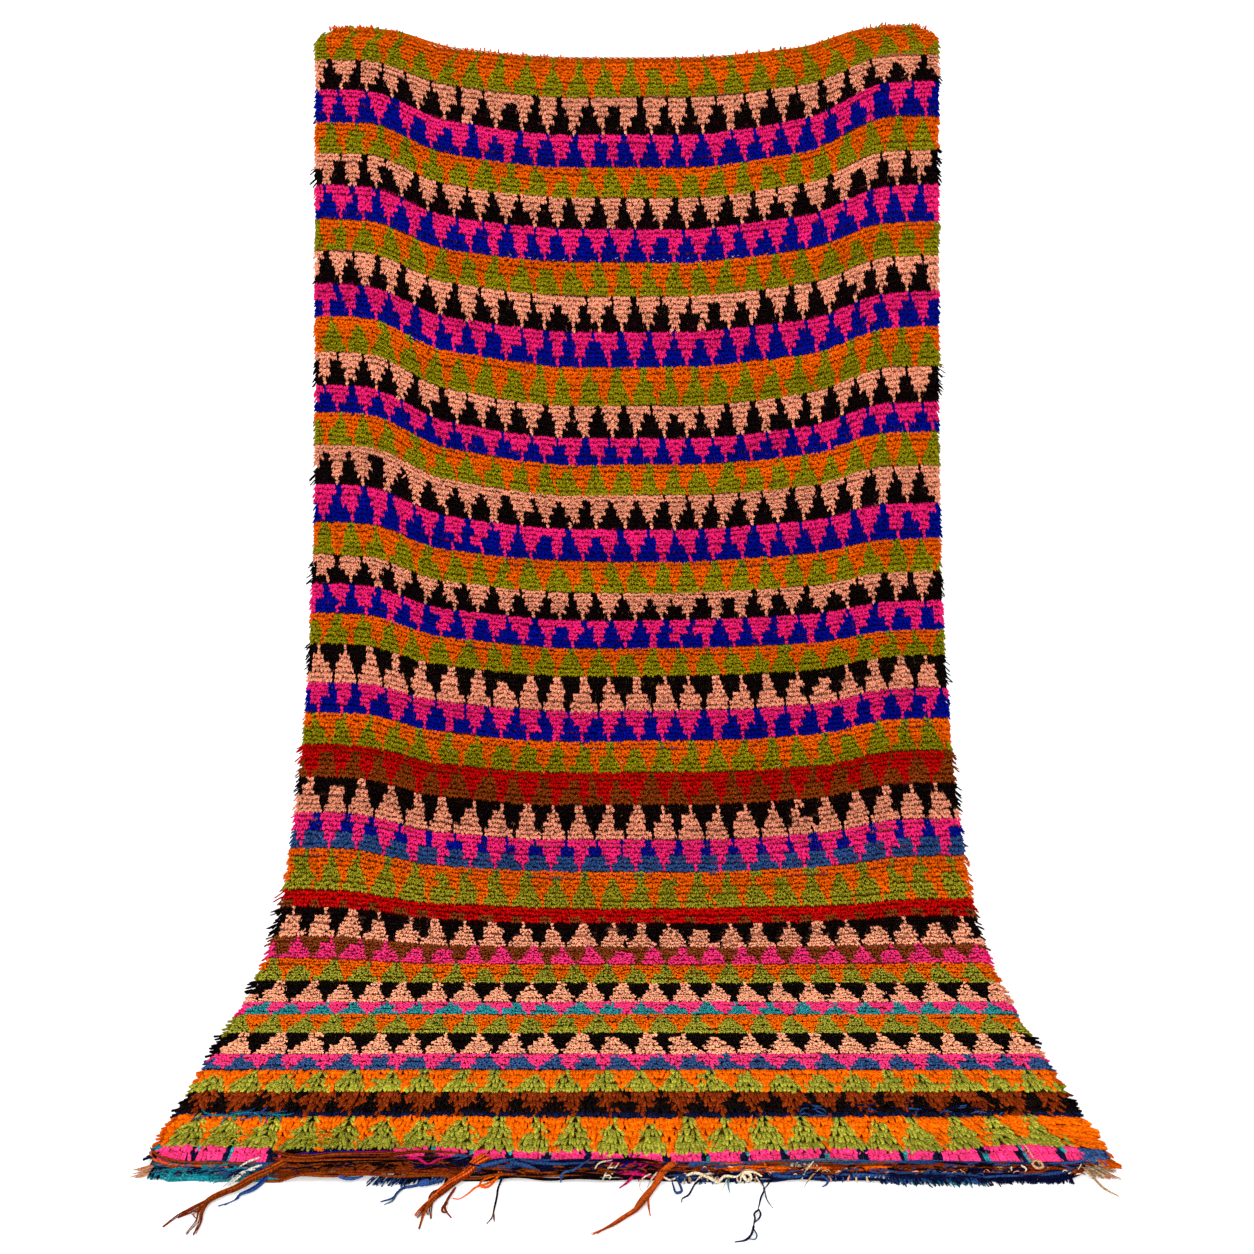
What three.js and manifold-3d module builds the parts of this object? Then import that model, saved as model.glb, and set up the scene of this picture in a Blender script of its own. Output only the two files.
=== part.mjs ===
// Boucherouite rug: a long knotted pile rug hung by its top edge, so that it hangs flat, sweeps
// forward and ends lying on the floor, with loose weft yarns at its front end.
// Millimetres. +Z is up, the pile faces -Y, the floor is z = 0 and x = 0 is the middle of the width.
import * as THREE from 'three';
import { mergeVertices } from 'three/addons/utils/BufferGeometryUtils.js';
import Module from 'manifold-3d';

const wasm = await Module();
wasm.setup();

// Driving dimensions
const bodyWidth = 1440;
const bodyThickness = 16;
const centreLength = 2793;
const frontReach = 1186;
const cornerRound = 46;
const lumpHeight = 1.3;
const bodyColumns = 28;
const bodyRows = 56;
const stepLength = 5;
const gap = 0.3;

// Profile seen from the side: run is the distance from the front end along the cloth, rise the
// slope in degrees there, from flat on the floor to hanging straight down.
const profile = [
  { run: 0, rise: 0 },
  { run: 496, rise: 0 },
  { run: 586, rise: 5 },
  { run: 666, rise: 9 },
  { run: 726, rise: 16 },
  { run: 776, rise: 27 },
  { run: 826, rise: 38 },
  { run: 876, rise: 44 },
  { run: 946, rise: 48 },
  { run: 1026, rise: 54 },
  { run: 1106, rise: 61 },
  { run: 1226, rise: 68 },
  { run: 1376, rise: 74 },
  { run: 1576, rise: 81 },
  { run: 1826, rise: 87 },
  { run: 2026, rise: 90 },
  { run: 3036, rise: 90 },
];

// How far the weft rows climb from the middle to each side edge, because the top edge sags
// between its two held corners.
const edgeClimb = [
  { run: 0, left: 0, right: 0 },
  { run: 576, left: 0, right: 0 },
  { run: 736, left: 30, right: 10 },
  { run: 856, left: 44, right: 24 },
  { run: 996, left: 60, right: 48 },
  { run: 1286, left: 66, right: 52 },
  { run: 1436, left: 82, right: 42 },
  { run: 1636, left: 92, right: 56 },
  { run: 1796, left: 122, right: 72 },
  { run: 1986, left: 127, right: 94 },
  { run: 2306, left: 100, right: 95 },
  { run: 2606, left: 108, right: 128 },
  { run: 2793, left: 70, right: 74 },
];

// Soft folds in the hung cloth: each runs from (fromX, fromRun) to (toX, toRun), with its
// half width and its height towards the viewer.
const folds = [
  { fromX: -560, fromRun: 2736, toX: -430, toRun: 1986, halfWidth: 70, height: 13 },
  { fromX: -390, fromRun: 2596, toX: -250, toRun: 1736, halfWidth: 110, height: -7 },
  { fromX: 600, fromRun: 2756, toX: 470, toRun: 2036, halfWidth: 70, height: 13 },
  { fromX: 430, fromRun: 2556, toX: 300, toRun: 1836, halfWidth: 110, height: -7 },
  { fromX: 210, fromRun: 1406, toX: 720, toRun: 1516, halfWidth: 60, height: -8 },
  { fromX: 320, fromRun: 1186, toX: 720, toRun: 1226, halfWidth: 45, height: -7 },
  { fromX: -720, fromRun: 1596, toX: -120, toRun: 1366, halfWidth: 80, height: 7 },
  { fromX: -60, fromRun: 2336, toX: 40, toRun: 1336, halfWidth: 150, height: 6 },
];

// Locks of pile that stick out of the two side edges
const sideStripWidth = 9;
const sideStripThickness = 11;
const sideStretchEnds = [0, 491, 676, 816, 956, 1136, 1436, 1936, 2737];
const sideStep = 50;
const lockPitch = 34.5;
const lockLength = { least: 9, most: 19 };
const lockWidth = 11;
const lockThickness = 7;

// Flatwoven end strip in front of the last pile row
const endStretches = 5;
const endColumns = 8;
const endStripReach = 40;
const endStripBackHeight = 12;
const endStripFrontHeight = 5;
const lyingYarns = [
  { from: -520, to: -235, height: 8 },
  { from: -225, to: 50, height: 4 },
  { from: 150, to: 520, height: 2 },
];

// Yarns that lie on the floor in front of the end strip. Each bundle starts at rootX on the strip
// and its tips end at tipX, reach in front of the last pile row, spread apart by fan.
const bundles = [
  { stretch: 0, yarns: 4, rootX: -706, tipX: -734, reach: 34, fan: 40, thick: 4, bow: 0 },
  { stretch: 0, yarns: 6, rootX: -527, tipX: -622, reach: 172, fan: 58, thick: 7, bow: 16 },
  { stretch: 0, yarns: 2, rootX: -566, tipX: -593, reach: 61, fan: 14, thick: 4, bow: 6 },
  { stretch: 1, yarns: 5, rootX: -318, tipX: -364, reach: 58, fan: 56, thick: 4, bow: 5 },
  { stretch: 1, yarns: 2, rootX: -262, tipX: -353, reach: 97, fan: 16, thick: 6, bow: -10 },
  { stretch: 1, yarns: 6, rootX: -233, tipX: -274, reach: 163, fan: 50, thick: 7, bow: 8 },
  { stretch: 1, yarns: 2, rootX: -174, tipX: -192, reach: 154, fan: 8, thick: 4, bow: -5 },
  { stretch: 2, yarns: 2, rootX: 8, tipX: -10, reach: 60, fan: 10, thick: 4, bow: 4 },
  { stretch: 2, yarns: 4, rootX: 54, tipX: -40, reach: 176, fan: 30, thick: 7, bow: 12 },
  { stretch: 2, yarns: 2, rootX: 102, tipX: 80, reach: 89, fan: 8, thick: 4, bow: 5 },
  { stretch: 3, yarns: 2, rootX: 203, tipX: 150, reach: 197, fan: 9, thick: 5, bow: -12 },
  { stretch: 3, yarns: 3, rootX: 300, tipX: 294, reach: 48, fan: 46, thick: 4, bow: 0 },
  { stretch: 4, yarns: 3, rootX: 470, tipX: 476, reach: 48, fan: 60, thick: 4, bow: 0 },
  { stretch: 4, yarns: 5, rootX: 700, tipX: 724, reach: 34, fan: 44, thick: 5, bow: 0 },
  { stretch: 4, yarns: 1, rootX: 684, tipX: 711, reach: 84, fan: 0, thick: 4, bow: -8 },
];
const yarnSteps = 5;
const yarnTipShare = 0.35;

// Value of one column of a table at a given run, between the rows on either side of it
function columnAt(table, column, run) {
  let row = 1;
  while (row < table.length - 1 && table[row].run < run) row += 1;
  const low = table[row - 1];
  const high = table[row];
  const share = Math.min(1, Math.max(0, (run - low.run) / (high.run - low.run)));
  return low[column] + (high[column] - low[column]) * share;
}

// A number from 0 to 1 that looks random but is the same every time
function scatter(seed) {
  const value = Math.sin(seed * 12.9898 + 4.1414) * 43758.5453;
  return value - Math.floor(value);
}

function smoothStep(low, high, value) {
  const share = Math.min(1, Math.max(0, (value - low) / (high - low)));
  return share * share * (3 - 2 * share);
}

// The back of the cloth seen from the side, stepped from the front end to the top
function stepProfile() {
  const steps = [{ y: -frontReach, z: 0, rise: 0 }];
  for (let run = stepLength; run <= centreLength + 300; run += stepLength) {
    const last = steps[steps.length - 1];
    const rise = THREE.MathUtils.degToRad(columnAt(profile, 'rise', run - stepLength / 2));
    steps.push({
      y: last.y + Math.cos(rise) * stepLength,
      z: last.z + Math.sin(rise) * stepLength,
      rise: THREE.MathUtils.degToRad(columnAt(profile, 'rise', run)),
    });
  }
  return steps;
}

const profileSteps = stepProfile();

function profileAt(run) {
  const place = Math.max(0, run) / stepLength;
  const index = Math.min(profileSteps.length - 2, Math.floor(place));
  const share = place - index;
  const low = profileSteps[index];
  const high = profileSteps[index + 1];
  return {
    y: low.y + (high.y - low.y) * share,
    z: low.z + (high.z - low.z) * share,
    rise: low.rise + (high.rise - low.rise) * share,
  };
}

// Where a row that crosses the middle at rowRun lies at x
function runAt(x, rowRun) {
  const side = Math.min(1, Math.abs(x) / (bodyWidth / 2));
  const shape = 0.6 * smoothStep(0.15, 0.98, side) + 0.4 * smoothStep(0.58, 0.84, side);
  return rowRun + shape * columnAt(edgeClimb, x < 0 ? 'left' : 'right', rowRun);
}

function foldHeight(x, run) {
  let height = 0;
  for (const fold of folds) {
    const alongX = fold.toX - fold.fromX;
    const alongRun = fold.toRun - fold.fromRun;
    const length = Math.hypot(alongX, alongRun);
    const along = ((x - fold.fromX) * alongX + (run - fold.fromRun) * alongRun) / length;
    const across = ((x - fold.fromX) * alongRun - (run - fold.fromRun) * alongX) / length;
    const ends = smoothStep(-90, 90, along) * smoothStep(-90, 90, length - along);
    height += fold.height * ends * Math.exp(-((across / fold.halfWidth) ** 2));
  }
  const swell = 3.5 * Math.sin(x / 150 + run / 410) * Math.sin(run / 290 - x / 520);
  return (height + swell) * smoothStep(656, 1186, run);
}

function lump(x, run) {
  const broad = Math.sin(x / 31 + 0.7 * Math.sin(run / 57)) * Math.sin(run / 37 + 0.5);
  const fine = Math.sin(x / 17 - run / 23);
  return lumpHeight * (0.65 * broad + 0.35 * fine);
}

// A point at a height over the back of the cloth, at x and at a distance along the cloth
function clothPoint(x, run, height) {
  const at = profileAt(run);
  const total = height + foldHeight(x, run);
  return new THREE.Vector3(x, at.y - Math.sin(at.rise) * total, at.z + Math.cos(at.rise) * total);
}

// A closed slab from a grid of points: pointAt(u, v, side) has side 0 at the back, 1 at the front
function slab(columns, rows, pointAt) {
  const positions = [];
  const index = [];
  const stride = (columns + 1) * (rows + 1);
  for (let side = 0; side < 2; side += 1) {
    for (let row = 0; row <= rows; row += 1) {
      for (let column = 0; column <= columns; column += 1) {
        positions.push(...pointAt(column / columns, row / rows, side).toArray());
      }
    }
  }
  const vertex = (column, row, side) => side * stride + row * (columns + 1) + column;
  const quad = (a, b, c, d) => index.push(a, b, c, a, c, d);
  for (let row = 0; row < rows; row += 1) {
    for (let column = 0; column < columns; column += 1) {
      const right = column + 1;
      const up = row + 1;
      quad(vertex(column, row, 1), vertex(right, row, 1), vertex(right, up, 1), vertex(column, up, 1));
      quad(vertex(column, row, 0), vertex(column, up, 0), vertex(right, up, 0), vertex(right, row, 0));
    }
  }
  for (let row = 0; row < rows; row += 1) {
    const up = row + 1;
    quad(vertex(0, row, 0), vertex(0, row, 1), vertex(0, up, 1), vertex(0, up, 0));
    quad(vertex(columns, row, 0), vertex(columns, up, 0), vertex(columns, up, 1), vertex(columns, row, 1));
  }
  for (let column = 0; column < columns; column += 1) {
    const right = column + 1;
    quad(vertex(column, 0, 0), vertex(right, 0, 0), vertex(right, 0, 1), vertex(column, 0, 1));
    quad(vertex(column, rows, 0), vertex(column, rows, 1), vertex(right, rows, 1), vertex(right, rows, 0));
  }
  const geometry = new THREE.BufferGeometry();
  geometry.setAttribute('position', new THREE.Float32BufferAttribute(positions, 3));
  geometry.setIndex(index);
  return geometry;
}

// A closed four-sided strand through sections: each has a middle, two half axes and sizes
function strand(sections) {
  const positions = [];
  const index = [];
  for (const section of sections) {
    for (const [across, over] of [[-1, -1], [1, -1], [1, 1], [-1, 1]]) {
      const corner = section.middle.clone();
      corner.addScaledVector(section.across, across * section.halfWidth);
      corner.addScaledVector(section.over, over * section.halfHeight);
      positions.push(...corner.toArray());
    }
  }
  const last = (sections.length - 1) * 4;
  index.push(0, 2, 1, 0, 3, 2, last, last + 1, last + 2, last, last + 2, last + 3);
  for (let ring = 0; ring < last; ring += 4) {
    for (let corner = 0; corner < 4; corner += 1) {
      const next = (corner + 1) % 4;
      index.push(ring + corner, ring + next, ring + 4 + next);
      index.push(ring + corner, ring + 4 + next, ring + 4 + corner);
    }
  }
  const geometry = new THREE.BufferGeometry();
  geometry.setAttribute('position', new THREE.Float32BufferAttribute(positions, 3));
  geometry.setIndex(index);
  return geometry;
}

function toSolid(geometry) {
  const merged = mergeVertices(geometry, 1e-4);
  return new wasm.Manifold(new wasm.Mesh({
    numProp: 3,
    vertProperties: new Float32Array(merged.getAttribute('position').array),
    triVerts: new Uint32Array(merged.getIndex().array),
  }));
}

function fuse(geometries) {
  let joined = toSolid(geometries[0]);
  for (const geometry of geometries.slice(1)) joined = joined.add(toSolid(geometry));
  const mesh = joined.getMesh();
  const result = new THREE.BufferGeometry();
  result.setAttribute('position', new THREE.Float32BufferAttribute(mesh.vertProperties, 3));
  result.setIndex(Array.from(mesh.triVerts));
  return result;
}

function piece(name, geometry, colour, roughness) {
  geometry.computeVertexNormals();
  const material = new THREE.MeshStandardMaterial({ color: colour, roughness, metalness: 0 });
  const mesh = new THREE.Mesh(geometry, material);
  mesh.name = name;
  return mesh;
}

// The knotted cloth: one lumpy slab, with its top edge sagging and its top corners rounded
function makeBody() {
  const geometry = slab(bodyColumns, bodyRows, (u, v, side) => {
    const rowRun = v * centreLength;
    const flatX = (u - 0.5) * bodyWidth;
    const fromTop = (1 - v) * centreLength;
    const bend = Math.max(0, cornerRound - fromTop);
    const inset = cornerRound - Math.sqrt(cornerRound ** 2 - bend ** 2);
    const x = flatX * (1 - inset / (bodyWidth / 2));
    const run = runAt(flatX, rowRun);
    const thin = 1 - 0.4 * smoothStep(30, 0, fromTop);
    const height = side * (bodyThickness * thin + lump(flatX, run));
    return clothPoint(x, run, height);
  });
  return piece('rug_body', geometry, 0xb4562c, 0.95);
}

// One lock of pile on a side edge: it starts inside the strip and leans out of the edge
function sideLock(sign, run, seed) {
  const reach = lockLength.least + (lockLength.most - lockLength.least) * scatter(seed);
  const drop = 14 * (scatter(seed + 31) - 0.6);
  const rootHeight = 0.5 * sideStripThickness;
  const rootX = sign * (bodyWidth / 2 + gap + 2);
  const sections = [0, 0.55, 1].map((share) => {
    const x = rootX + sign * share * (reach + sideStripWidth - 2);
    const along = run + drop * share * share;
    const slope = profileAt(along).rise;
    const size = 1 - 0.72 * share;
    const halfHeight = 0.5 * lockThickness * size;
    const height = Math.max(halfHeight, rootHeight * (1 - 0.55 * share));
    return {
      middle: clothPoint(x, along, height),
      across: new THREE.Vector3(0, Math.cos(slope), Math.sin(slope)).multiplyScalar(sign),
      over: new THREE.Vector3(0, -Math.sin(slope), Math.cos(slope)),
      halfWidth: 0.5 * lockWidth * size,
      halfHeight,
    };
  });
  return strand(sections);
}

// A narrow strip along one stretch of a side edge, with its locks fused to it
function makeSideLocks(sign, stretch) {
  const low = sideStretchEnds[stretch] + gap;
  const high = sideStretchEnds[stretch + 1] - gap;
  const steps = Math.max(3, Math.round((high - low) / sideStep));
  const locks = Math.round((high - low) / lockPitch);
  const edgeX = sign * (bodyWidth / 2 + gap);
  const outerX = edgeX + sign * sideStripWidth;
  const startX = sign < 0 ? outerX : edgeX;
  const strip = slab(1, steps, (u, v, side) => {
    const run = runAt(edgeX, low + (high - low) * v);
    return clothPoint(startX + u * sideStripWidth, run, side * sideStripThickness);
  });
  const parts = [strip];
  for (let count = 0; count < locks; count += 1) {
    const seed = 27 * stretch + count + (sign > 0 ? 300 : 0);
    const share = (count + 0.5 + 0.5 * (scatter(seed + 5) - 0.5)) / locks;
    parts.push(sideLock(sign, runAt(edgeX, low + (high - low) * share), seed));
  }
  const side = sign < 0 ? 'left' : 'right';
  return piece(`${side}_edge_locks_${stretch + 1}`, fuse(parts), 0x6d3a24, 0.95);
}

function endStripHeight(x, share) {
  let height = endStripBackHeight + (endStripFrontHeight - endStripBackHeight) * share;
  for (const yarn of lyingYarns) {
    height += yarn.height * smoothStep(yarn.from, yarn.from + 40, x) * smoothStep(yarn.to, yarn.to - 40, x);
  }
  return height + 0.8 * Math.sin(x / 14) * share;
}

// One yarn on the floor from the end strip, tapering to its tip, its underside level with z = 0
function floorYarn(bundle, number) {
  const middle = (bundle.yarns - 1) / 2;
  const place = bundle.yarns > 1 ? (number - middle) / middle / 2 : 0;
  const seed = bundle.rootX + 7 * number;
  const root = new THREE.Vector3(bundle.rootX + place * bundle.yarns * bundle.thick * 0.8, 0, 0);
  const start = -frontReach - gap - 8;
  const reach = bundle.reach * (0.8 + 0.2 * scatter(seed)) - 8;
  const tip = new THREE.Vector3(bundle.tipX + place * bundle.fan, 0, 0);
  const sections = [];
  for (let step = 0; step <= yarnSteps; step += 1) {
    const share = step / yarnSteps;
    const bow = bundle.bow * Math.sin(Math.PI * share) + 3 * (scatter(seed + step) - 0.5) * share;
    const lean = share ** 1.3;
    const half = 0.5 * bundle.thick * (1 - (1 - yarnTipShare) * share);
    sections.push({
      middle: new THREE.Vector3(root.x + (tip.x - root.x) * lean + bow, start - reach * share, half),
      across: new THREE.Vector3(1, 0, 0),
      over: new THREE.Vector3(0, 0, 1),
      halfWidth: half,
      halfHeight: half,
    });
  }
  return strand(sections);
}

// One stretch of the flatwoven end, with the yarns that come loose from it
function makeEndStrip(stretch) {
  const stretchWidth = bodyWidth / endStretches;
  const low = -bodyWidth / 2 + stretch * stretchWidth + gap;
  const width = stretchWidth - 2 * gap;
  const strip = slab(endColumns, 2, (u, v, side) => {
    const x = low + u * width;
    const wave = 2 * Math.sin(x / 47) + 1.5 * Math.sin(x / 19);
    const reach = endStripReach + wave;
    return new THREE.Vector3(x, -frontReach - gap - (1 - v) * reach, side * endStripHeight(x, 1 - v));
  });
  const parts = [strip];
  for (const bundle of bundles.filter((entry) => entry.stretch === stretch)) {
    for (let number = 0; number < bundle.yarns; number += 1) parts.push(floorYarn(bundle, number));
  }
  return piece(`end_strip_${stretch + 1}`, fuse(parts), 0x29456e, 0.9);
}

const rug = new THREE.Group();
rug.add(makeBody());
for (const sign of [-1, 1]) {
  for (let stretch = 0; stretch < sideStretchEnds.length - 1; stretch += 1) {
    rug.add(makeSideLocks(sign, stretch));
  }
}
for (let stretch = 0; stretch < endStretches; stretch += 1) rug.add(makeEndStrip(stretch));

// The origin is under the middle of the whole rug, on the floor
const box = new THREE.Box3().setFromObject(rug, true);
rug.position.set(-(box.min.x + box.max.x) / 2, -(box.min.y + box.max.y) / 2, -box.min.z);
rug.updateMatrixWorld(true);

export default rug;
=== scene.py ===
# %% [markdown]
# # A long knotted pile rug, hung by its top edge
#
# The real rug is made on an upright loom: rows of thick wool knots with a few shots of weft
# between them, in bands of small stepped triangles. Here it hangs from its two top corners,
# sweeps forward and ends lying on the floor, with loose weft yarns at its front end.
#
# The lesson builds the woven ground first, then the pile that grows out of it, then its edges.

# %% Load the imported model
import math

import bpy
import numpy as np
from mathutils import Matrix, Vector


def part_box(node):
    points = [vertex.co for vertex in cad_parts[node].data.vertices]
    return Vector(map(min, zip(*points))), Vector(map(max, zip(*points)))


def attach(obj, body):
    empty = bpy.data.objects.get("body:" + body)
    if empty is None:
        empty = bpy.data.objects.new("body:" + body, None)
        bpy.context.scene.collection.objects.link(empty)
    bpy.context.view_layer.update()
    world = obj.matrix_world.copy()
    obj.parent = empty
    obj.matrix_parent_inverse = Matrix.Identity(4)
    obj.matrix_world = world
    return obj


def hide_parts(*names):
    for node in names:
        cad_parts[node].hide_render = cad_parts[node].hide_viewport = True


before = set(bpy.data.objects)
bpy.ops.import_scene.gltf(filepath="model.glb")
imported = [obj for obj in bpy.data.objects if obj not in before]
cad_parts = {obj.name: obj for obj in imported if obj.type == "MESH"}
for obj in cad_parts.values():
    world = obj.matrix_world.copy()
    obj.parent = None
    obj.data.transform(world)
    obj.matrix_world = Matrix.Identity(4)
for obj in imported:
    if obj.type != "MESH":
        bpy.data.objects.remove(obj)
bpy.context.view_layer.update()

# %% [markdown]
# ## Where the cloth lies
#
# A hung rug is one surface bent in space, so a point on it has three plain numbers: x across the
# width, run along the cloth from its front end, and height over its back. They could be found by
# a cloth simulation, but the solids already have this surface, and the same named values give
# the same surface here. Everything below is in millimetres until it becomes a mesh.

# %% The side view of the cloth
BODY_WIDTH = 1440.0
CENTRE_LENGTH = 2793.0
FRONT_REACH = 1186.0
CORNER_ROUND = 46.0
STEP = 5.0

# run from the front end, slope of the cloth in degrees
RISE_TABLE = np.array([
    (0, 0), (496, 0), (586, 5), (666, 9), (726, 16), (776, 27), (826, 38), (876, 44), (946, 48),
    (1026, 54), (1106, 61), (1226, 68), (1376, 74), (1576, 81), (1826, 87), (2026, 90), (3136, 90),
], dtype=float)

SPARE_RUN = 350
step_runs = np.arange(0, CENTRE_LENGTH + SPARE_RUN, STEP)
step_rise = np.radians(np.interp(step_runs, RISE_TABLE[:, 0], RISE_TABLE[:, 1]))
middle_rise = np.radians(np.interp(step_runs[:-1] + STEP / 2, RISE_TABLE[:, 0], RISE_TABLE[:, 1]))
step_y = -FRONT_REACH + np.concatenate([[0], np.cumsum(np.cos(middle_rise) * STEP)])
step_z = np.concatenate([[0], np.cumsum(np.sin(middle_rise) * STEP)])
print("hung height:", round(float(np.interp(CENTRE_LENGTH, step_runs, step_z))))

# %% How the rows climb to the side edges, and the soft folds
# line at the middle of the cloth, climb at the left edge, climb at the right edge
CLIMB_TABLE = np.array([
    (0, 0, 0), (576, 0, 0), (736, 30, 10), (856, 44, 24), (996, 60, 48), (1286, 66, 52),
    (1436, 82, 42), (1636, 92, 56), (1796, 122, 72), (1986, 127, 94), (2306, 100, 95),
    (2606, 108, 128), (2793, 70, 74),
], dtype=float)

# from x, from run, to x, to run, half width, height
FOLDS = [
    (-560, 2736, -430, 1986, 70, 13), (-390, 2596, -250, 1736, 110, -7),
    (600, 2756, 470, 2036, 70, 13), (430, 2556, 300, 1836, 110, -7),
    (210, 1406, 720, 1516, 60, -8), (320, 1186, 720, 1226, 45, -7),
    (-720, 1596, -120, 1366, 80, 7), (-60, 2336, 40, 1336, 150, 6),
]
FOLD_FADE = 90
FOLDS_START = 656, 1186
UNEVEN = 3.5


def smooth_step(low, high, value):
    share = np.clip((value - low) / (high - low), 0, 1)
    return share * share * (3 - 2 * share)


def run_at(x, line):
    """The run of a point at x on the row that crosses the middle of the cloth at this line."""
    side = np.minimum(1, np.abs(x) / (BODY_WIDTH / 2))
    shape = 0.6 * smooth_step(0.15, 0.98, side) + 0.4 * smooth_step(0.58, 0.84, side)
    left = np.interp(line, CLIMB_TABLE[:, 0], CLIMB_TABLE[:, 1])
    right = np.interp(line, CLIMB_TABLE[:, 0], CLIMB_TABLE[:, 2])
    return line + shape * np.where(x < 0, left, right)


def fold_height(x, run):
    """Slow unevenness and the eight soft folds; both die out before the cloth reaches the floor."""
    height = UNEVEN * np.sin(x / 150 + run / 410) * np.sin(run / 290 - x / 520)
    for from_x, from_run, to_x, to_run, half_width, rise in FOLDS:
        along_x, along_run = to_x - from_x, to_run - from_run
        length = math.hypot(along_x, along_run)
        along = ((x - from_x) * along_x + (run - from_run) * along_run) / length
        across = ((x - from_x) * along_run - (run - from_run) * along_x) / length
        ends = (smooth_step(-FOLD_FADE, FOLD_FADE, along)
                * smooth_step(-FOLD_FADE, FOLD_FADE, length - along))
        height = height + rise * ends * np.exp(-((across / half_width) ** 2))
    return height * smooth_step(*FOLDS_START, run)


# %% A point on the cloth, and the way from its own middle to the row frame
def cloth_point(x, run, height):
    y = np.interp(run, step_runs, step_y) + np.minimum(run, 0)
    z = np.interp(run, step_runs, step_z)
    rise = np.interp(run, step_runs, step_rise)
    total = height + fold_height(x, run)
    return np.stack([x + 0 * total, y - np.sin(rise) * total, z + np.cos(rise) * total], axis=-1)


body_low, body_high = (np.array(corner, dtype=float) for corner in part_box("rug_body"))
SHIFT = np.array([(body_low[0] + body_high[0]) / 2, body_low[1] + FRONT_REACH / 1000, 0.0])


def to_frame(points):
    return np.asarray(points, dtype=float).reshape(-1, 3) / 1000 + SHIFT


print("shift in metres:", SHIFT.round(4))

# %% [markdown]
# ## Camera, floor and light
#
# The photo was taken level, about hip high, some three metres from the hung part. The lens keeps
# the verticals upright and the frame is slid down instead, as with a shift lens. One floor that
# bends up behind into a wall gives the even white ground of a studio.

# %% Camera
LENS, LENS_SHIFT = 40.92, -0.19
CAMERA_DISTANCE, CAMERA_HEIGHT = 3.338, 1.176
camera_data = bpy.data.cameras.new("studio_camera")
camera_data.sensor_width = 36
camera_data.lens = LENS
camera_data.shift_y = LENS_SHIFT
camera_data.clip_end = 60
camera = bpy.data.objects.new("studio_camera", camera_data)
bpy.context.collection.objects.link(camera)
camera.location = (SHIFT[0], SHIFT[1] - CAMERA_DISTANCE, CAMERA_HEIGHT)
camera.rotation_euler = (math.radians(90), 0, 0)
bpy.context.scene.camera = camera
bpy.context.scene.view_settings.view_transform = "Standard"
print("camera at", [round(value, 3) for value in camera.location])

# %% [markdown]
# ## Shader sums
#
# A material is a graph of small sums. Written as Python expressions they stay readable, so one
# small class wraps a socket: an operator adds the Math node it stands for, and one method adds
# any other node.

# %% A socket that takes part in Python sums
class Socket:
    def __init__(self, tree, socket=None):
        self.tree = tree
        self.socket = socket

    def node(self, kind, settings=None, inputs=None, output=0):
        node = self.tree.nodes.new(kind)
        for key, value in (settings or {}).items():
            setattr(node, key, value)
        for key, value in (inputs or {}).items():
            if isinstance(value, Socket):
                self.tree.links.new(value.socket, node.inputs[key])
            else:
                node.inputs[key].default_value = value
        return Socket(self.tree, node.outputs[output])

    def math(self, operation, first, second):
        return self.node("ShaderNodeMath", {"operation": operation}, {0: first, 1: second})

    def __add__(self, other):
        return self.math("ADD", self, other)

    def __radd__(self, other):
        return self.math("ADD", other, self)

    def __sub__(self, other):
        return self.math("SUBTRACT", self, other)

    def __rsub__(self, other):
        return self.math("SUBTRACT", other, self)

    def __mul__(self, other):
        return self.math("MULTIPLY", self, other)

    def __rmul__(self, other):
        return self.math("MULTIPLY", other, self)


def new_material(name):
    """An empty material, and the socket class set on its graph to start from."""
    material = bpy.data.materials.new(name)
    material.use_nodes = True
    material.node_tree.nodes.clear()
    return material, Socket(material.node_tree)


def surface(start, colour, roughness, height=None, strength=0.5, distance=0.001, glow=0.0):
    inputs = {"Base Color": colour, "Roughness": roughness, "Specular IOR Level": 0.0}
    if glow:
        inputs.update({"Emission Color": (1, 1, 1, 1), "Emission Strength": glow})
    if height is not None:
        inputs["Normal"] = start.node(
            "ShaderNodeBump", {}, {"Strength": strength, "Distance": distance, "Height": height})
    shader = start.node("ShaderNodeBsdfPrincipled", {}, inputs)
    output = start.tree.nodes.new("ShaderNodeOutputMaterial")
    start.tree.links.new(shader.socket, output.inputs["Surface"])


def scaled(start, colour, amount):
    return start.node("ShaderNodeVectorMath", {"operation": "SCALE"}, {0: colour, 3: amount})


# %% The studio floor and light
PAPER_WIDTH, PAPER_DEPTH, PAPER_MIDDLE = 14, 9.8, -1.1
PAPER_WALL, PAPER_CURVE, PAPER_GLOW = 6, 1.6, 0.22
WORLD_LIGHT = 0.5
# name, place, point that it is aimed at, width and height, power in watts
LIGHTS = [
    ("overhead_softbox", (0.3, -2.4, 6.4), (0.0, -0.7, 0.2), (3.6, 2.8), 760),
    ("front_softbox", (-0.9, -4.4, 1.3), (0.0, -0.4, 0.6), (2.6, 1.6), 168),
]


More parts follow.
